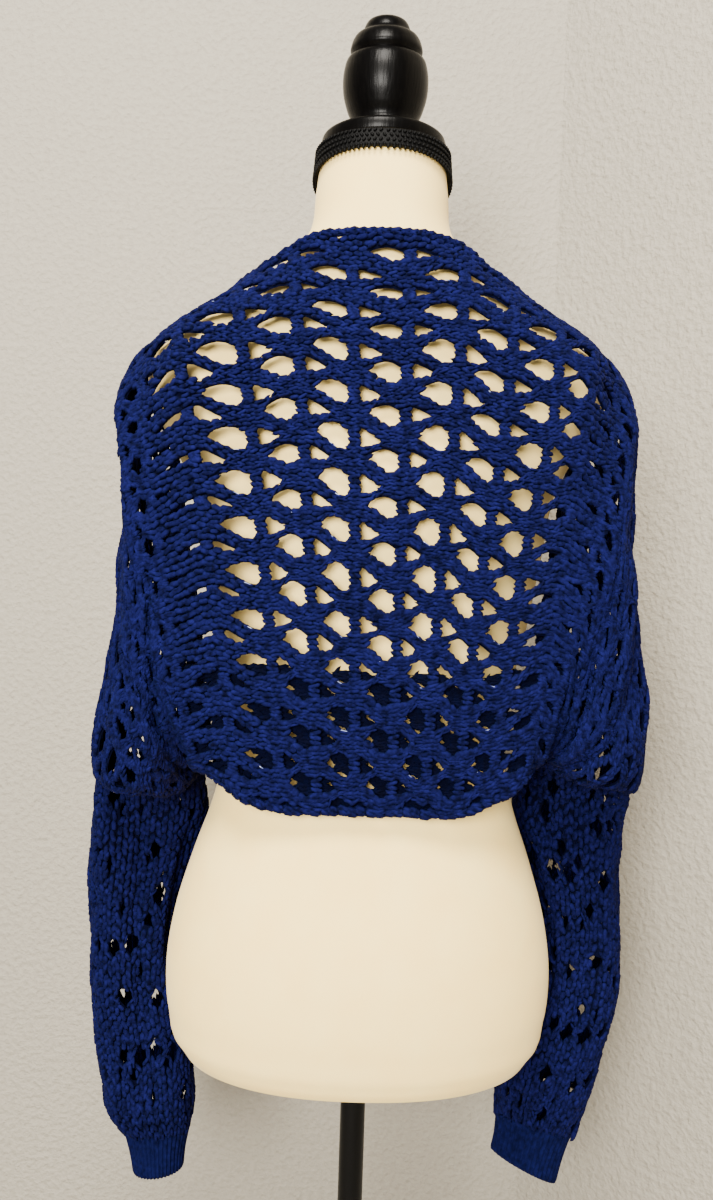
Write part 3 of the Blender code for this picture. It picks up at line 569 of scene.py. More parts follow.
# rings round the sleeves: outer, inner, back and front points, and the seam's turn in degrees
ringNames = (
    "step", "outX", "outY", "outZ", "inX", "inY", "inZ", "backY", "backZ", "frontY", "frontZ", "seam",
)
leftRings = (
    (5.0, 0.2020, 0.000, 1.136, 0.138, 0.060, 0.793, 0.086, 0.965, -0.078, 0.985, 180),
    (6.0, 0.2160, 0.000, 1.106, 0.143, 0.035, 0.797, 0.087, 0.945, -0.080, 0.960, 180),
    (7.0, 0.2110, 0.000, 1.062, 0.147, 0.015, 0.798, 0.087, 0.920, -0.082, 0.930, 182),
    (8.0, 0.2080, -0.002, 1.016, 0.149, 0.005, 0.796, 0.088, 0.890, -0.084, 0.905, 184),
    (9.0, 0.2110, -0.004, 0.970, 0.150, 0.000, 0.793, 0.089, 0.865, -0.086, 0.880, 188),
    (10.0, 0.2150, -0.006, 0.925, 0.150, -0.005, 0.789, 0.090, 0.845, -0.088, 0.860, 192),
    (11.0, 0.2200, -0.010, 0.880, 0.150, -0.010, 0.785, 0.092, 0.825, -0.090, 0.840, 196),
    (12.0, 0.2270, -0.015, 0.835, 0.149, -0.015, 0.780, 0.092, 0.800, -0.092, 0.815, 200),
    (12.5, 0.2320, -0.018, 0.812, 0.148, -0.020, 0.778, 0.088, 0.782, -0.093, 0.802, 203),
    (13.0, 0.2360, -0.022, 0.792, 0.147, -0.028, 0.775, 0.070, 0.770, -0.094, 0.788, 206),
    (13.5, 0.2370, -0.030, 0.778, 0.146, -0.036, 0.771, 0.040, 0.772, -0.095, 0.775, 208),
    (14.0, 0.2400, -0.040, 0.762, 0.144, -0.045, 0.764, 0.014, 0.766, -0.096, 0.760, 210),
    (15.0, 0.2470, -0.052, 0.712, 0.143, -0.055, 0.715, -0.006, 0.718, -0.098, 0.712, 215),
    (16.0, 0.2485, -0.055, 0.663, 0.152, -0.058, 0.666, -0.012, 0.668, -0.099, 0.663, 218),
    (17.0, 0.2480, -0.056, 0.615, 0.161, -0.060, 0.618, -0.015, 0.620, -0.099, 0.615, 220),
    (18.0, 0.2445, -0.056, 0.567, 0.162, -0.060, 0.570, -0.016, 0.572, -0.098, 0.567, 222),
    (19.0, 0.2390, -0.055, 0.519, 0.156, -0.058, 0.522, -0.017, 0.524, -0.096, 0.519, 224),
    (20.0, 0.2340, -0.054, 0.470, 0.150, -0.056, 0.474, -0.018, 0.476, -0.092, 0.471, 226),
    (20.6, 0.2290, -0.053, 0.441, 0.149, -0.055, 0.446, -0.020, 0.448, -0.088, 0.442, 227),
    (21.0, 0.2140, -0.052, 0.424, 0.152, -0.054, 0.426, -0.027, 0.428, -0.077, 0.424, 228),
)
rightRings = (
    (5.0, 0.2010, 0.000, 1.138, 0.140, 0.060, 0.806, 0.086, 0.965, -0.078, 0.985, 180),
    (6.0, 0.2175, 0.000, 1.108, 0.145, 0.035, 0.810, 0.087, 0.945, -0.080, 0.960, 180),
    (7.0, 0.2175, 0.000, 1.064, 0.148, 0.015, 0.812, 0.088, 0.920, -0.082, 0.930, 182),
    (8.0, 0.2180, -0.002, 1.018, 0.150, 0.005, 0.811, 0.089, 0.892, -0.084, 0.905, 184),
    (9.0, 0.2220, -0.004, 0.972, 0.151, 0.000, 0.809, 0.090, 0.870, -0.086, 0.880, 188),
    (10.0, 0.2275, -0.006, 0.927, 0.151, -0.005, 0.807, 0.091, 0.850, -0.088, 0.860, 192),
    (11.0, 0.2325, -0.008, 0.882, 0.151, -0.010, 0.804, 0.092, 0.835, -0.090, 0.840, 196),
    (12.0, 0.2370, -0.010, 0.838, 0.150, -0.015, 0.800, 0.092, 0.820, -0.092, 0.822, 200),
    (12.5, 0.2385, -0.012, 0.810, 0.149, -0.018, 0.798, 0.088, 0.803, -0.093, 0.806, 203),
    (13.0, 0.2380, -0.014, 0.782, 0.148, -0.025, 0.794, 0.070, 0.791, -0.094, 0.790, 206),
    (13.5, 0.2350, -0.020, 0.757, 0.147, -0.035, 0.788, 0.042, 0.790, -0.095, 0.773, 208),
    (14.0, 0.2320, -0.032, 0.738, 0.145, -0.045, 0.778, 0.014, 0.781, -0.096, 0.758, 210),
    (15.0, 0.2370, -0.050, 0.702, 0.142, -0.055, 0.726, -0.006, 0.728, -0.098, 0.712, 215),
    (16.0, 0.2410, -0.054, 0.658, 0.151, -0.058, 0.674, -0.012, 0.676, -0.099, 0.663, 218),
    (17.0, 0.2425, -0.055, 0.613, 0.160, -0.060, 0.624, -0.015, 0.626, -0.099, 0.615, 220),
    (18.0, 0.2405, -0.055, 0.567, 0.157, -0.060, 0.576, -0.016, 0.578, -0.098, 0.567, 222),
    (19.0, 0.2330, -0.055, 0.520, 0.149, -0.058, 0.530, -0.017, 0.532, -0.096, 0.521, 224),
    (20.0, 0.2205, -0.054, 0.475, 0.138, -0.056, 0.487, -0.018, 0.488, -0.092, 0.476, 226),
    (21.0, 0.2060, -0.052, 0.430, 0.135, -0.054, 0.450, -0.026, 0.448, -0.078, 0.432, 228),
)


def drapeDepth(x, height, side):
    width = readColumn(drapeSections, drapeNames, "halfWidth", height)
    depth = readColumn(drapeSections, drapeNames, side, height)
    share = np.clip(np.abs(x) / width, 0.0, 1.0)
    return depth * (1.0 - share ** shrug["shoulderFullness"]) ** (1.0 / shrug["shoulderFullness"])


def ridgeHeight(x):
    heights = np.array([row[0] for row in drapeSections])
    widths = np.array([row[1] for row in drapeSections])
    top = int(np.argmax(heights > 1.09))
    return float(np.interp(-abs(x), -widths[top:], heights[top:]))


def sideOfStep(step, row):
    down = (row - shrug["neckRow"]) / (shrug["hemRow"] - shrug["neckRow"])
    spread = 0.029 + 0.017 * (1.0 - down) ** 1.2
    even = -0.010 + spread * step + 0.0007 * (1.0 - down) ** 2 * step * step
    ease = min(1.0, max(0.0, (down - 0.30) / 0.35))
    gather = shrug["rightGather"] * ease * ease * (3.0 - 2.0 * ease) * max(0.0, -step)
    return even - (shrug["netShift"] - gather) * min(1.0, 4.0 - abs(step))


def bodyPoint(step, row):
    # up the back from the hem, over the shoulder and down the front, by length
    x = sideOfStep(step, row)
    hemSide = abs(sideOfStep(step, shrug["hemRow"]))
    hemLift = shrug["hemCurve"] * max(0.0, hemSide - shrug["hemFlat"]) ** 2
    fade = max(0.0, (row - shrug["liftRow"]) / (shrug["hemRow"] - shrug["liftRow"]))
    lifts = [float(readColumn(liftTable, liftNames, name, row)) for name in liftNames[1:]]
    rowLift = float(readColumn(tuple(zip(liftPlaces, lifts)), ("place", "lift"), "lift", abs(x)))
    ridge = ridgeHeight(x)
    turn = np.linspace(0.0, math.pi / 2, 60)
    backHeights = shrug["hemHeight"] + (ridge - shrug["hemHeight"]) * np.sin(turn)
    frontHeights = ridge - (ridge - shrug["frontReach"]) * (1.0 - np.cos(turn))
    back = np.stack([np.full(60, x), drapeDepth(x, backHeights, "back"), backHeights], axis=1)
    front = np.stack([np.full(60, x), -drapeDepth(x, frontHeights, "front"), frontHeights], axis=1)
    curve = np.concatenate([back, front[1:]])
    lengths = np.concatenate([[0.0], np.cumsum(np.linalg.norm(np.diff(curve, axis=0), axis=1))])
    down = (row - shrug["neckRow"]) / (shrug["hemRow"] - shrug["neckRow"])
    sideLift = shrug["leftLift"] * max(0.0, min(step, 3.0) / 3.0) ** 2 * math.sin(math.pi * down)
    wanted = (shrug["hemRow"] - row) * shrug["rowPitch"] + rowLift + hemLift * fade + sideLift
    return np.array([np.interp(wanted, lengths, curve[:, axis]) for axis in range(3)])


def closingCurve(start, end, shares):
    # the front opening's edge, from the shoulder down to the hem's corner under the arm
    side = math.copysign(1.0, start[0])
    first = start + np.array([-0.005 * side, -0.060, -0.100])
    second = end + np.array([0.045 * side, -0.130, 0.020])
    t = np.linspace(0.0, 1.0, 80)[:, None]
    curve = (1 - t) ** 3 * start + 3 * (1 - t) ** 2 * t * first + 3 * (1 - t) * t**2 * second + t**3 * end
    return alongCurve(curve, shares)


def bodyStation(step, rows):
    neckRow = shrug["neckRow"]
    lowRow = shrug["hemRow"] - shrug["rowsAround"]
    upper = [bodyPoint(step, row) for row in rows if row >= neckRow]
    lower = rows[rows < neckRow]
    opening = closingCurve(upper[0], upper[-1], (neckRow - lower) / (neckRow - lowRow))
    return np.concatenate([opening, np.array(upper)])


def ringCurve(outer, inner, back, front, fullness, count=96):
    # four quarter ovals through the outer, back, inner and front points
    middle = (outer + inner) / 2
    corners = (outer, back, inner, front, outer)
    points = []
    for quarter in range(4):
        start = corners[quarter] - middle
        end = corners[quarter + 1] - middle
        for turn in np.linspace(0.0, math.pi / 2, count // 4, endpoint=False):
            fromStart, fromEnd = math.cos(turn) ** (2 / fullness), math.sin(turn) ** (2 / fullness)
            points.append(middle + start * fromStart + end * fromEnd)
    return np.array(points)


def ringStation(rings, side, step, rows, ridgeRow):
    read = {name: float(readColumn(rings, ringNames, name, step)) for name in ringNames[1:]}
    outer = np.array([side * read["outX"], read["outY"], read["outZ"]])
    inner = np.array([side * read["inX"], read["inY"], read["inZ"]])
    across = (outer[0] + inner[0]) / 2
    back = np.array([across, read["backY"], read["backZ"]])
    front = np.array([across, read["frontY"], read["frontZ"]])
    points = ringCurve(outer, inner, back, front, shrug["sleeveFullness"])
    seam = int(round(read["seam"] / 360 * len(points)))
    backHalf = points[: seam + 1]
    frontHalf = np.concatenate([points[seam:], points[:1]])[::-1]
    hemRow = shrug["hemRow"]
    lowRow = hemRow - shrug["rowsAround"]
    onBack = rows[rows >= ridgeRow]
    onFront = rows[rows < ridgeRow]
    backShares = (onBack - ridgeRow) / (hemRow - ridgeRow)
    frontShares = (ridgeRow - onFront) / (ridgeRow - lowRow)
    return np.concatenate([alongCurve(frontHalf, frontShares), alongCurve(backHalf, backShares)])


def clearOfForm(points):
    # moves points out sideways where they would come nearer the form than the cloth's wall
    inside = (points[:, 2] > 0.533) & (points[:, 2] < form["neckTop"])
    sections, names, heights = form["sections"], form["names"], points[:, 2]
    width, front, back = (readColumn(sections, names, name, heights) for name in names[1:4])
    clearance = shrug["formClearance"]
    fullness = form["fullness"]
    depth = np.where(points[:, 1] > 0, back, front) + clearance
    acrossShare, depthShare = np.abs(points[:, 0]) / (width + clearance), np.abs(points[:, 1]) / depth
    share = acrossShare ** fullness + depthShare ** fullness
    push = np.where(inside & (share < 1.0), np.maximum(share, 0.05) ** (-1.0 / fullness), 1.0)
    return points * np.stack([push, push, np.ones(len(push))], axis=1)


lowestRow = shrug["hemRow"] - shrug["rowsAround"]
rowGrid = np.arange(lowestRow, shrug["hemRow"] + 0.001, 0.25)
stepGrid = np.arange(-shrug["cuffStep"], shrug["cuffStep"] + 0.001, 0.5)


def makeStations():
    stations = []
    armhole, fan = shrug["armholeStep"], shrug["fanStep"]
    for step in stepGrid:
        reach = abs(step)
        rings, side = (leftRings, 1) if step > 0 else (rightRings, -1)
        if reach <= armhole:
            station = bodyStation(step, rowGrid)
        elif reach >= fan:
            ridgeRow = np.interp(reach, (fan, 9.0), (shrug["shoulderRow"], shrug["elbowRidgeRow"]))
            station = ringStation(rings, side, reach, rowGrid, float(ridgeRow))
        else:
            before = bodyStation(side * armhole, rowGrid)
            after = ringStation(rings, side, fan, rowGrid, shrug["shoulderRow"])
            share = (reach - armhole) / (fan - armhole)
            station = before * (1 - share) + after * share
        stations.append(clearOfForm(station) if reach > 3 else station)
    return np.array(stations)


stations = makeStations()
print("surface of the shrug laid out")


def cubicWeights(t):
    return (
        -0.5 * t + t**2 - 0.5 * t**3,
        1.0 - 2.5 * t**2 + 1.5 * t**3,
        0.5 * t + 2.0 * t**2 - 1.5 * t**3,
        -0.5 * t**2 + 0.5 * t**3,
    )


def onNet(steps, rows):
    stepAt = (np.clip(steps, stepGrid[0], stepGrid[-1]) - stepGrid[0]) / 0.5
    rowAt = (np.clip(rows, rowGrid[0], rowGrid[-1]) - rowGrid[0]) / 0.25
    stepIndex = np.clip(np.floor(stepAt).astype(int), 0, len(stepGrid) - 2)
    rowIndex = np.clip(np.floor(rowAt).astype(int), 0, len(rowGrid) - 2)
    stepWeights = cubicWeights(stepAt - stepIndex)
    rowWeights = cubicWeights(rowAt - rowIndex)
    total = np.zeros((len(stepAt), 3))
    for i in range(4):
        atStep = np.clip(stepIndex + i - 1, 0, len(stepGrid) - 1)
        for j in range(4):
            atRow = np.clip(rowIndex + j - 1, 0, len(rowGrid) - 1)
            total += (stepWeights[i] * rowWeights[j])[:, None] * stations[atStep, atRow]
    return total


def netFrame(steps, rows):
    # points of the surface, outward normals and the direction along the steps
    reach = 0.03
    alongStep = onNet(steps + reach, rows) - onNet(steps - reach, rows)
    alongRow = onNet(steps, rows + reach) - onNet(steps, rows - reach)
    hemRow = shrug["hemRow"]
    onEdge = (rows < lowestRow + 0.001) | (rows > hemRow - 0.001)
    onSeam = (np.abs(steps) > shrug["armholeStep"] - 0.01) & onEdge
    acrossSeam = onNet(steps, rows * 0 + lowestRow + reach) - onNet(steps, rows * 0 + hemRow - reach)
    alongRow[onSeam] = acrossSeam[onSeam]
    return onNet(steps, rows), unit(np.cross(alongStep, alongRow)), unit(alongStep), unit(alongRow)


# the openwork: each eye is a slit in the rows, opened into a large gap, a bar and a small gap

eye = {
    # how far the slit's upper and lower edges stand off, at places along it
    "places": (
        -0.64, -0.58, -0.50, -0.40, -0.30, -0.24, -0.20, -0.10, 0.0,
        0.04, 0.10, 0.18, 0.28, 0.38, 0.48, 0.57, 0.64,
    ),
    "up": (
        0.0, 0.030, 0.085, 0.150, 0.205, 0.225, 0.220, 0.180, 0.155,
        0.170, 0.210, 0.260, 0.290, 0.275, 0.235, 0.175, 0.0,
    ),
    "down": (
        0.0, 0.085, 0.130, 0.150, 0.165, 0.170, 0.160, 0.165, 0.190,
        0.220, 0.255, 0.265, 0.225, 0.160, 0.090, 0.025, 0.0,
    ),
    "barFrom": -0.20,
    "columns": (0.0, 0.04, 0.10, 0.18, 0.28, 0.36, 0.42, 0.50, 0.57, 0.64, 0.70, 0.76, 0.80, 0.90),
    "rowParts": 6,
    "curl": 0.0016,
    # how far the eyes stand open, and how unevenly, from the middle of the back out to the cuffs
    "openReach": (0.0, 3.5, 6.0, 9.0, 13.0, 14.5, 17.0, 21.0),
    "openShare": (1.0, 1.0, 1.0, 1.15, 1.10, 0.95, 0.95, 0.85),
    "varyReach": (0.0, 4.0, 7.0, 12.5, 14.0, 21.0),
    "varyShare": (0.07, 0.12, 0.40, 0.45, 0.70, 0.85),
    "frontShare": 0.55,
    "neckShare": 0.64,
    "gatherShare": 0.5,
    "slotShare": 0.35,
    "hemSideShare": 0.8,
    "shortWidth": 0.16,
    "shortGain": 1.55,
    "lowFrontShare": 1.90,
    # where these shares hold: steps out from the middle, and rows down, as each comes in and fades out
    "gatherSteps": (3.0, 3.8, 4.6, 5.6),
    "gatherRows": (5.0, 8.0, 9.6, 10.4),
    "slotSteps": (3.7, 4.0, 4.7, 5.1),
    "slotRows": (3.0, 4.5, 10.0, 10.8),
    "hemSteps": (2.5, 2.9, 5.2, 6.2),
    "hemRows": (9.6, 10.6),
    "neckRows": (1.5, 3.5),
    "elbowSteps": (12.8, 14.2),
}
variety = np.random.default_rng(11)
eyeVary = variety.uniform(-1.0, 1.0, (64, 64))
wobblePhase = variety.uniform(0.0, 2 * math.pi, 8)


def slitOpening(column, offset, row, edge):
    # how far one edge of an eye's slit stands from its middle, in rows
    base = np.interp(offset, eye["places"], eye[edge])
    pick = eyeVary[np.mod(column.astype(int), 64), np.mod(np.round(2 * row).astype(int), 64)]
    reach = np.abs(column + offset)
    share = np.interp(reach, eye["openReach"], eye["openShare"])
    uneven = np.interp(reach, eye["varyReach"], eye["varyShare"])
    onFront = np.interp(reach, eye["elbowSteps"], (eye["frontShare"], eye["lowFrontShare"]))
    share = share * np.where((reach > 5.0) & (row < 2.9), onFront, 1.0)
    inAndOut = (0.0, 1.0, 1.0, 0.0)
    gathers = np.interp(row, eye["gatherRows"], (0.0, 1.0, 1.0, 0.3))
    gathers = gathers * np.interp(reach, eye["gatherSteps"], inAndOut)
    slots = np.interp(reach, eye["slotSteps"], inAndOut) * np.interp(row, eye["slotRows"], inAndOut)
    hemSides = np.interp(reach, eye["hemSteps"], inAndOut) * np.interp(row, eye["hemRows"], (0.0, 1.0))
    share = share * (1.0 - (1.0 - eye["slotShare"]) * slots)
    share = share * (1.0 - eye["gatherShare"] * gathers)
    share = share * (1.0 - (1.0 - eye["hemSideShare"]) * hemSides)
    share = share * np.where(reach < 4.0, np.interp(row, eye["neckRows"], (eye["neckShare"], 1.0)), 1.0)
    # down the lower sleeves only one short part of each slit stands open
    short = np.interp(reach, eye["elbowSteps"], (0.0, 1.0))
    other = eyeVary[np.mod(column.astype(int) + 7, 64), np.mod(np.round(2 * row).astype(int) + 23, 64)]
    middle = np.where(other > 0.0, 0.12 + 0.40 * other, -0.25 + 0.35 * other)
    window = eye["shortGain"] * np.exp(-(((offset - middle) / eye["shortWidth"]) ** 2))
    share = share * (1.0 - short + short * window)
    return base * share * np.clip(1.0 + uneven * pick, 0.06, 1.45)


def openRows(steps, flatRows, side=0.0):
    # moves rows of the unopened cloth to where the slits push them; side tells points on a slit apart
    column = np.floor(steps + 1e-9)
    offset = steps - column
    phase = np.mod(column, 2.0) / 2.0
    at = flatRows - phase + side * 1e-6
    whole = np.floor(at)
    part = np.clip(at - whole, 0.0, 1.0)
    above = slitOpening(column, offset, whole + phase, "down")
    below = slitOpening(column, offset, whole + 1 + phase, "up")
    middleUp = slitOpening(column + 1, offset - 1, whole + 0.5 + phase, "up")
    middleDown = slitOpening(column + 1, offset - 1, whole + 0.5 + phase, "down")
    upper = above + (0.5 - middleUp - above) * (part / 0.5)
    lower = 0.5 + middleDown + (0.5 - middleDown - below) * ((part - 0.5) / 0.5)
    return whole + phase + np.where(part < 0.5, upper, lower)


# listed creases, each from one step and row to another; a negative depth raises a ridge instead
creaseNames = ("side", "fromStep", "fromRow", "toStep", "toRow", "width", "depth")
creases = (
    (1, 13.4, 5.0, 15.2, 7.6, 0.55, 0.0085),
    (1, 15.0, 7.5, 19.4, 8.2, 0.60, 0.0075),
    (1, 14.6, 10.0, 18.2, 10.8, 0.50, 0.0045),
    (1, 14.2, 5.8, 18.8, 5.2, 0.45, -0.0030),
    (1, 11.2, 5.0, 12.9, 8.4, 0.40, 0.0060),
    (1, 10.0, 7.0, 12.6, 9.6, 0.45, 0.0065),
    (1, 7.0, 9.0, 10.5, 11.4, 0.50, 0.0060),
    (1, 5.6, 8.2, 8.4, 10.0, 0.45, 0.0050),
    (1, 8.2, 5.6, 10.8, 6.4, 0.40, 0.0035),
    (1, 14.0, -2.0, 18.0, -1.0, 0.70, 0.0060),
    (1, 9.0, -2.5, 12.0, -0.5, 0.60, 0.0055),
    (-1, 13.2, 3.8, 15.7, 10.8, 0.50, 0.0100),
    (-1, 12.8, 4.6, 15.0, 11.6, 0.40, -0.0045),
    (-1, 15.5, 6.4, 19.5, 7.4, 0.55, 0.0060),
    (-1, 16.0, 9.4, 19.0, 9.0, 0.50, 0.0050),
    (-1, 10.4, 6.2, 12.8, 10.0, 0.45, 0.0075),
    (-1, 9.0, 5.0, 12.2, 7.2, 0.40, 0.0050),
    (-1, 6.4, 8.6, 10.2, 11.6, 0.50, 0.0065),
    (-1, 5.4, 9.6, 8.4, 12.2, 0.45, 0.0050),
    (-1, 8.0, 4.8, 10.2, 5.4, 0.40, 0.0030),
    (-1, 14.0, -1.5, 18.5, -2.5, 0.70, 0.0060),
    (-1, 8.5, -1.0, 11.5, -3.0, 0.60, 0.0050),
)


def creaseDepth(steps, rows):
    total = np.zeros(len(steps))
    for crease in creases:
        made = dict(zip(creaseNames, crease))
        start = np.array([made["side"] * made["fromStep"], made["fromRow"]])
        way = np.array([made["side"] * made["toStep"], made["toRow"]]) - start
        from0 = np.stack([steps, rows], axis=1) - start
        share = np.clip(from0 @ way / (way @ way), 0.0, 1.0)
        apart = np.linalg.norm(from0 - share[:, None] * way, axis=1)
        fading = np.sin(math.pi * (0.12 + 0.76 * share))
        total += made["depth"] * fading * np.exp(-((apart / made["width"]) ** 2))
    return total


waves = {
    "reach": (0.0, 3.5, 6.0, 11.0, 12.5, 14.5, 21.0),
    "amount": (0.0005, 0.0010, 0.0026, 0.0036, 0.0016, 0.0030, 0.0022),
}


def softWaves(steps, rows):
    # uneven soft hang: slow waves across the sleeves, slight on the back, less the creases
    amount = np.interp(np.abs(steps), waves["reach"], waves["amount"])
    seam = np.clip((shrug["hemRow"] - rows) * (rows - lowestRow) / 12.0, 0.0, 1.0)
    wave = (
        np.sin(steps * 1.9 + rows * 0.7 + wobblePhase[0])
        + np.sin(steps * 0.8 - rows * 1.3 + wobblePhase[1])
        + 0.6 * np.sin(steps * 3.7 + rows * 1.9 + wobblePhase[2])
        + 0.5 * np.sin(steps * 2.6 - rows * 3.1 + wobblePhase[3])
    )
    return amount * seam * wave / 2.0 - seam ** 0.5 * creaseDepth(steps, rows)


def clothPoint(steps, rows, deep=0.0):
    point, normal, alongStep, alongRow = netFrame(steps, rows)
    return point + normal * (softWaves(steps, rows) - deep)[:, None], normal, alongStep, alongRow


def netSheet(name, lowStep, highStep, lowRow, highRow, deep=0.0, moved=0):
    # the cloth between the gaps, its gap edges curled inward; moved shifts the eyes by whole steps
    parts = eye["rowParts"]
    columns = [round(whole + share, 4) for whole in range(lowStep, highStep) for share in eye["columns"]]
    columns.append(float(highStep))
    flat = np.arange(round(lowRow * parts), round(highRow * parts) + 1)
    known, params, faces = {}, [], []

    def corner(step, k, side):
        # a corner on a slit that is closed there is the same from both sides
        row = k / parts
        column = math.floor(step + 1e-9)
        offset = step - column
        ownRow = (round(2 * row) + column + moved) % 2 == 0
        isOpen = (2 * row) % 1 == 0 and (offset < 0.639 if ownRow else offset > 0.361)
        key = (round(step * 10000), k, side if isOpen else 0)
        if key not in known:
            known[key] = len(params)
            params.append((step, row, side if isOpen else 0, 1.0 if isOpen else 0.0))
        return known[key]

    for left, right in zip(columns[:-1], columns[1:]):
        for k in flat[:-1]:
            places = ((left, k, 1), (left, k + 1, -1), (right, k + 1, -1), (right, k, 1))
            faces.append(tuple(corner(*place) for place in places))
    params = np.array(params)
    steps = params[:, 0]
    rows = openRows(steps + moved, params[:, 1], params[:, 2])
    rows = np.clip(rows, lowRow, highRow)
    # bars across the slits
    barParams, barFaces = [], []
    start = len(params)
    for column in range(lowStep, highStep + 1):
        for k in range(round(2 * lowRow), round(2 * highRow) + 1):
            row = k / 2
            if (k + column + moved) % 2 or row <= lowRow or row >= highRow:
                continue
            low, high = column + eye["barFrom"], column
            if low < lowStep - 0.001 or high > highStep + 0.001:
                continue
            for share in (0.0, 0.5, 1.0):
                step = low + (high - low) * share
                for part in (-1.0, -0.5, 0.0, 0.5, 1.0):
                    barParams.append((step, row, part))
            first = start + len(barParams) - 15
            for a in range(2):
                for b in range(4):
                    corner0 = first + a * 5 + b
                    barFaces.append((corner0, corner0 + 1, corner0 + 6, corner0 + 5))
    edgeDeep = np.where(params[:, 3] > 0, eye["curl"], 0.0) + deep
    point = clothPoint(steps, rows, edgeDeep)[0]
    barSteps, slitRows, barParts = np.array(barParams).T
    column = np.round(barSteps + 0.1)
    above = slitOpening(column + moved, barSteps - column, slitRows, "up")
    below = slitOpening(column + moved, barSteps - column, slitRows, "down")
    barRows = np.clip(slitRows + np.where(barParts < 0, above, below) * barParts, lowRow, highRow)
    barDeep = np.full(len(barSteps), eye["curl"] * 0.8 + deep)
    point = np.concatenate([point, clothPoint(barSteps, barRows, barDeep)[0]])
    faces = np.array(faces + barFaces)
    # the sheet is drawn in the painted-shade yarn, so the crevices between the stitches read dark
    return meshPiece(name, point, faces[:, ::-1], yarnPaintedShade)


stitch = {
    "bodyLines": 7,
    "sleeveLines": 6,
    "lowLines": 3.5,
    "perStep": 6,
    "lean": 0.26,
    "halfLength": 0.0056,
    "height": 0.0019,
    "widest": 0.0026,
    "slimmest": 0.0012,
    "jitter": 0.0004,
    "sunk": 0.0006,
    "groundDeep": 0.0012,
    "upperWild": 1.6,
    "lowWild": 1.7,
}


def stitchGrains(name, lowStep, highStep, lowRow, highRow, perRow, wild=1.0, deep=0.0, moved=0, dyedOrShaded=yarn):
    # slanting stitch legs along the wales, leaning in pairs; wild makes them less even; the last argument is
    # their material: the dyed yarn, or for the turn-up the yarn with painted shade
    lines = np.arange(round((highRow - lowRow) * perRow))
    places = np.arange(round((highStep - lowStep) * stitch["perStep"]))
    lineGrid, placeGrid = (grid.ravel() for grid in np.meshgrid(lines, places, indexing="ij"))
    chance = np.random.default_rng(len(lineGrid))
    flatRows = lowRow + (lineGrid + 0.5) / perRow
    evenSteps = lowStep + (placeGrid + 0.25 + 0.5 * (lineGrid % 2)) / stitch["perStep"]
    steps = evenSteps + wild * chance.uniform(-0.02, 0.02, len(lineGrid))
    steps = np.clip(steps, lowStep + 0.05, highStep - 0.05)
    rows = openRows(steps + moved, flatRows)
    quarter = 0.25 / perRow
    above = openRows(steps + moved, flatRows - quarter)
    below = openRows(steps + moved, flatRows + quarter)
    reach = 0.05
    ahead = openRows(steps + moved + reach, flatRows)
    behind = openRows(steps + moved - reach, flatRows)
    point, normal = clothPoint(steps, rows, np.full(len(steps), deep + stitch["sunk"]))[:2]
    along = unit(onNet(steps + reach, ahead) - onNet(steps - reach, behind))
    spacing = np.linalg.norm(onNet(steps, below) - onNet(steps, above), axis=1) * 2
    across = unit(np.cross(normal, along))
    lean = np.where(lineGrid % 2 == 0, stitch["lean"], -stitch["lean"])
    lean = lean + wild * chance.uniform(-0.12, 0.12, len(steps))
    direction = unit(along + across * lean[:, None])
    halfWidth = np.clip(spacing * 0.56, stitch["slimmest"], stitch["widest"])
    vary = chance.uniform(0.8, 1.2, len(steps))
    point = point + across * chance.uniform(-1.0, 1.0, (len(steps), 1)) * stitch["jitter"] * wild
    size = (stitch["halfLength"] * vary * (0.9 + 0.1 * wild), halfWidth, stitch["height"] * vary)
    return grains(name, point, direction, normal, size, dyedOrShaded)


def barGrains(name, lowStep, highStep, lowRow, highRow):
    # a few legs across each bar
    made = []
    for column in range(lowStep, highStep + 1):
        for k in range(round(2 * lowRow) + 1, round(2 * highRow)):
            if (k + column) % 2 == 0 and lowStep <= column + eye["barFrom"]:
                for part in (-0.85, -0.3, 0.3, 0.85):
                    for share in (0.27, 0.73):
                        made.append((column, k / 2, part, column + eye["barFrom"] * (1 - share)))
    columns, slitRows, parts, steps = np.array(made).T
    above = slitOpening(columns, steps - columns, slitRows, "up")
    below = slitOpening(columns, steps - columns, slitRows, "down")
    rows = slitRows + np.where(parts < 0, above, below) * parts
    point, normal, alongStep, alongRow = clothPoint(steps, rows, np.full(len(steps), stitch["sunk"]))
    lean = np.where(np.round(parts * 2).astype(int) % 2 == 0, 0.4, -0.4)[:, None]
    barSize = (0.0042, 0.0018, 0.0016)
    return grains(name, point, unit(alongStep + alongRow * lean), normal, barSize, yarn)


def edgeThreads(name, lowStep, highStep, lowRow, highRow):
    # a fine shiny thread shows along the lower edge of some large gaps, its pale specks painted glints
    chance = np.random.default_rng(5)
    made = []
    for column in range(lowStep, highStep):
        for k in range(round(2 * lowRow) + 2, round(2 * highRow) - 1):
            if (k + column) % 2 == 0 and chance.uniform() < 0.6:
                made.append((column, k / 2, chance.uniform(0.16, 0.36)))
    columns, slitRows, offsets = np.array(made).T
    ends = []
    for shift in (-0.04, 0.04):
        rows = slitRows + slitOpening(columns, offsets + shift, slitRows, "down") + 0.012
        ends.append(clothPoint(columns + offsets + shift, rows, np.full(len(made), -stitch["sunk"]))[:2])
    (start, normal), end = ends[0], ends[1][0]
    threadSize = (0.0042, 0.00032, 0.00030)
    return grains(name, (start + end) / 2, unit(end - start), normal, threadSize, shinyThread, sink=0.0003)


def makeBack():
    neck, hem, armhole = shrug["neckRow"], shrug["hemRow"], shrug["armholeStep"]
    net = netSheet("back_net", -armhole, armhole, neck, hem, stitch["groundDeep"])
    legs = stitchGrains("back_stitches", -armhole, armhole, neck, hem, stitch["bodyLines"])
    bars = barGrains("back_bars", -armhole, armhole, neck, hem)
    threads = edgeThreads("back_threads", -armhole, armhole, neck, hem)
    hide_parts("body_panel")
    return net, [legs, bars, threads]


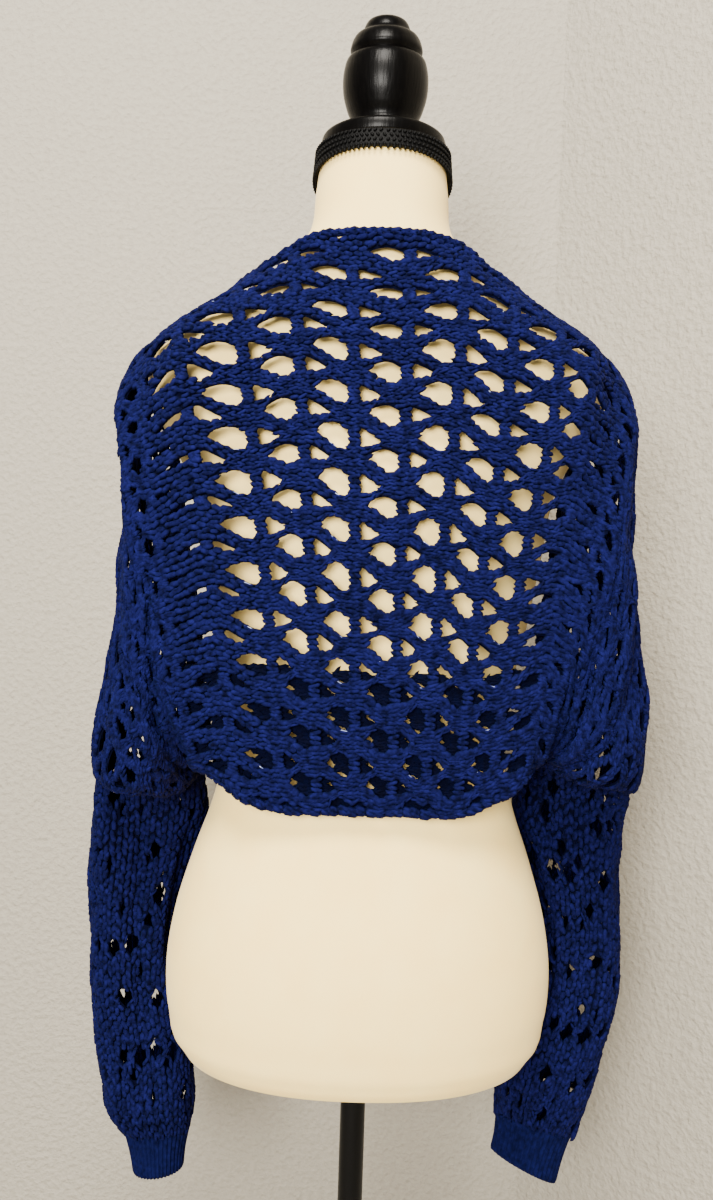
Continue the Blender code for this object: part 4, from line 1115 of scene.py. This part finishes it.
def makeTurnUp():
    # the lower rows of the back folded up inside it, their eyes one step aside; their stitches take the
    # painted-shade yarn for the shadow inside the fold
    hem, reach = shrug["hemRow"], shrug["turnUpReach"]
    top = hem - shrug["turnUpRows"]
    deep = shrug["cloth"] + shrug["turnUpGap"]
    net = netSheet("turn_up_net", -reach, reach, top, hem, deep + stitch["groundDeep"], 1)
    lines = stitch["bodyLines"]
    # painted shade: the turn-up's stitches are the same yarn, drawn darker as if in shadow
    legs = stitchGrains("turn_up_stitches", -reach, reach, top, hem, lines, 1.0, deep, 1, yarnPaintedShade)
    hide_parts("hem_turn_up")
    return net, [legs]


def makeSleeve(side, word):
    hem, sleeve = shrug["hemRow"], "sleeve_" + word
    ends = [side * shrug[key] for key in ("armholeStep", "elbowStep", "cuffStep")]
    net = netSheet(sleeve + "_net", *sorted((ends[0], ends[2])), lowestRow, hem, stitch["groundDeep"])
    upper, lower = sorted(ends[:2]), sorted(ends[1:])
    lines, wild, middle = stitch["sleeveLines"], stitch["upperWild"], 3.0
    pieces = [
        stitchGrains(sleeve + "_back_stitches", *upper, middle, hem, lines, wild),
        stitchGrains(sleeve + "_front_stitches", *upper, lowestRow, middle, lines, wild),
        barGrains(sleeve + "_bars", *upper, lowestRow, hem),
        stitchGrains(sleeve + "_low_stitches", *lower, lowestRow, hem, stitch["lowLines"], stitch["lowWild"]),
    ]
    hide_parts(sleeve + "_back", sleeve + "_front")
    return net, pieces


backNet, backTrim = makeBack()
print("back made")
turnUpNet, turnUpTrim = makeTurnUp()
print("turn-up made")
leftNet, leftTrim = makeSleeve(1, "left")
rightNet, rightTrim = makeSleeve(-1, "right")
print("sleeves made")

# ribbed cuffs: each runs from its sleeve's last ring to a rim of its own

cuff = {
    "names": ("outX", "outZ", "inX", "inZ", "backY", "backZ", "frontY", "frontZ"),
    "left": (0.2045, 0.3820, 0.1570, 0.3880, -0.030, 0.3860, -0.074, 0.3820),
    "right": (0.1940, 0.3830, 0.1310, 0.4150, -0.030, 0.4040, -0.074, 0.3850),
    "middleY": -0.052,
    "ribs": 40,
    "ribHeight": 0.0020,
    "ribPower": 0.6,
    "thickness": 0.0014,
    "waist": 0.0010,
    "rimRounding": 0.0008,
    "topRounding": 0.0006,
}


def cuffCurve(side, read, fullness):
    outer = np.array([side * read["outX"], cuff["middleY"], read["outZ"]])
    inner = np.array([side * read["inX"], cuff["middleY"], read["inZ"]])
    across = (outer[0] + inner[0]) / 2
    back = np.array([across, read["backY"], read["backZ"]])
    front = np.array([across, read["frontY"], read["frontZ"]])
    curve = ringCurve(outer, inner, back, front, fullness, 240)
    return np.concatenate([curve, curve[:1]])


def makeCuff(name, side, rings, rim, node):
    around = cuff["ribs"] * 6
    shares = np.arange(around) / around
    top = alongCurve(cuffCurve(side, dict(zip(ringNames, rings[-1])), shrug["sleeveFullness"]), shares)
    bottom = alongCurve(cuffCurve(side, dict(zip(cuff["names"], rim)), 2.0), shares)
    if side < 0:
        top, bottom = top[::-1], bottom[::-1]
    rib = (0.5 + 0.5 * np.cos(shares * 2 * math.pi * cuff["ribs"])) ** cuff["ribPower"]
    outerRings, innerRings = [], []
    for share in np.linspace(0.0, 1.0, 15):
        loop = top * (1 - share) + bottom * share
        outward = unit(loop - loop.mean(axis=0))
        waist = -cuff["waist"] * math.sin(math.pi * share)
        edge = cuff["rimRounding"] * (share > 0.99) + cuff["topRounding"] * (share < 0.01)
        outerRings.append(loop + outward * (waist - edge - cuff["ribHeight"] * (1 - rib))[:, None])
        innerRings.append(loop - outward * (cuff["thickness"] + cuff["ribHeight"] - waist))
    rings = outerRings + innerRings[::-1] + outerRings[:1]
    points = np.concatenate(rings[:-1])
    faces = ringFaces(len(rings), around) % len(points)
    piece = meshPiece(name, points, faces[:, ::-1], yarnRib)
    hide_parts(node)
    return piece


leftCuff = makeCuff("cuff_left_rib", 1, leftRings, cuff["left"], "cuff_left")
rightCuff = makeCuff("cuff_right_rib", -1, rightRings, cuff["right"], "cuff_right")
print("cuffs made")

# rolled edges along the neck, the front openings and the hem

edging = {
    "neckRadius": 0.0030,
    "hemRadius": 0.0040,
    "chainLength": 0.0068,
    "legsAround": 5,
    "halfLength": 0.0060,
    "halfWidth": 0.0021,
    "samples": 160,
    "frontSamples": 120,
}


def rolledEdge(name, line, normals, radius):
    # a chain of slanting legs laid around the edge's line, so that it reads as a soft roll
    lengths = np.concatenate([[0.0], np.cumsum(np.linalg.norm(np.diff(line, axis=0), axis=1))])
    count = max(8, int(lengths[-1] / edging["chainLength"]))
    at = np.linspace(0, lengths[-1], count)
    centre = np.stack([np.interp(at, lengths, line[:, axis]) for axis in range(3)], axis=1)
    outward = unit(np.stack([np.interp(at, lengths, normals[:, axis]) for axis in range(3)], axis=1))
    along = unit(np.gradient(centre, axis=0))
    across = unit(np.cross(outward, along))
    uneven = np.random.default_rng(count)
    aside = across * uneven.uniform(-0.0009, 0.0009, (count, 1))
    centre = centre + aside + along * uneven.uniform(-0.001, 0.001, (count, 1))
    centres, alongs, outs = [], [], []
    for k in range(edging["legsAround"]):
        turn = 2 * math.pi * (k + 0.2) / edging["legsAround"]
        way = outward * math.cos(turn) + across * math.sin(turn)
        centres.append(centre + way * radius * 0.55)
        alongs.append(unit(along + unit(np.cross(way, along)) * (0.5 if k % 2 else -0.5)))
        outs.append(way)
    centres, alongs, outs = (np.concatenate(part) for part in (centres, alongs, outs))
    size = (edging["halfLength"], edging["halfWidth"], radius * 0.5)
    return grains(name, centres, alongs, outs, size, yarn)


def makeEdges():
    armhole, neck, hem = shrug["armholeStep"], shrug["neckRow"], shrug["hemRow"]
    steps = np.linspace(-armhole, armhole, edging["samples"])
    point, normal, alongStep, alongRow = clothPoint(steps, np.full(len(steps), neck))
    neckEdge = rolledEdge("neck_edge", point - normal * 0.001, normal, edging["neckRadius"])
    point, normal, alongStep, alongRow = clothPoint(steps, np.full(len(steps), hem))
    hemEdge = rolledEdge("hem_edge", point - normal * 0.003 + alongRow * 0.0005, normal, edging["hemRadius"])
    fronts = []
    rows = np.linspace(lowestRow, neck, edging["frontSamples"])
    for side, word in ((1, "left"), (-1, "right")):
        point, normal, alongStep, alongRow = clothPoint(np.full(len(rows), side * (armhole + 0.02)), rows)
        fronts.append(rolledEdge("front_edge_" + word, point - normal * 0.001, normal, edging["neckRadius"]))
    return neckEdge, hemEdge, fronts


neckEdge, hemEdge, frontEdges = makeEdges()
print("edges rolled")

backTrim = backTrim + [neckEdge, hemEdge]
leftTrim = leftTrim + [frontEdges[0], leftCuff]
rightTrim = rightTrim + [frontEdges[1], rightCuff]

# floor, backdrop and light

room = {
    "wall": -0.36,
    "corner": -0.208,
    "left": 2.6,
    "right": (-2.2, 1.6),
    "front": 2.6,
    "floor": -0.0004,
    "height": 2.9,
    "plaster": ((0.315, 0.284, 0.228), (0.350, 0.318, 0.258)),
}


def makeRoom():
    # a floor, a wall behind the form and a second wall from the corner at the right
    floor = room["floor"]
    turning = [(room["left"], room["wall"]), (room["corner"], room["wall"]), room["right"]]
    points = [(x, y, z) for x, y in turning for z in (floor, room["height"])]
    faces = [(0, 2, 3, 1), (2, 4, 5, 3)]
    first = len(points)
    points += [(room["left"], room["front"], floor), (room["right"][0], room["front"], floor)]
    faces.append((0, first, first + 1, 4, 2))
    mesh = bpy.data.meshes.new("room")
    mesh.from_pydata(points, [], faces)
    material, nodes, links, shader = newMaterial("pale plaster", (0.30, 0.28, 0.24), 0.85)
    peel = noiseAt(nodes, links, 150.0, 2.0)
    mixedColour(nodes, links, shader, peel.outputs["Fac"], *room["plaster"])
    addBump(nodes, links, shader, peel.outputs["Fac"], 0.7, 0.005)
    mesh.materials.append(material)
    walls = bpy.data.objects.new("room", mesh)
    bpy.context.scene.collection.objects.link(walls)


# each lamp's name, place, the point it faces, size, power and colour
lamps = (
    ("lamp_window", (0.6, 2.7, 1.5), (0.0, 0.0, 0.85), 1.1, 205.0, (1.0, 0.965, 0.90)),
    ("lamp_ceiling", (0.2, 1.25, 2.55), (0.0, 0.0, 0.6), 0.8, 100.0, (1.0, 0.95, 0.87)),
)
daylight = {"colour": (1.0, 0.97, 0.92, 1.0), "strength": 0.42}


def makeLights():
    for name, place, target, size, power, colour in lamps:
        data = bpy.data.lights.new(name, "AREA")
        data.shape = "DISK"
        data.size = size
        data.energy = power
        data.color = colour
        lamp = bpy.data.objects.new(name, data)
        way = unit(np.array(place) - np.array(target))
        right = unit(np.cross(np.array([0.0, 0.0, 1.0]), way))
        up = np.cross(way, right)
        matrix = np.eye(4)
        matrix[:3, 0], matrix[:3, 1], matrix[:3, 2], matrix[:3, 3] = right, up, way, place
        lamp.matrix_world = [list(row) for row in matrix.T]
        bpy.context.scene.collection.objects.link(lamp)
    world = bpy.data.worlds.new("soft room")
    world.use_nodes = True
    sky = world.node_tree.nodes["Background"]
    sky.inputs["Color"].default_value = daylight["colour"]
    sky.inputs["Strength"].default_value = daylight["strength"]
    bpy.context.scene.world = world


makeRoom()
makeLights()
print("room lit")
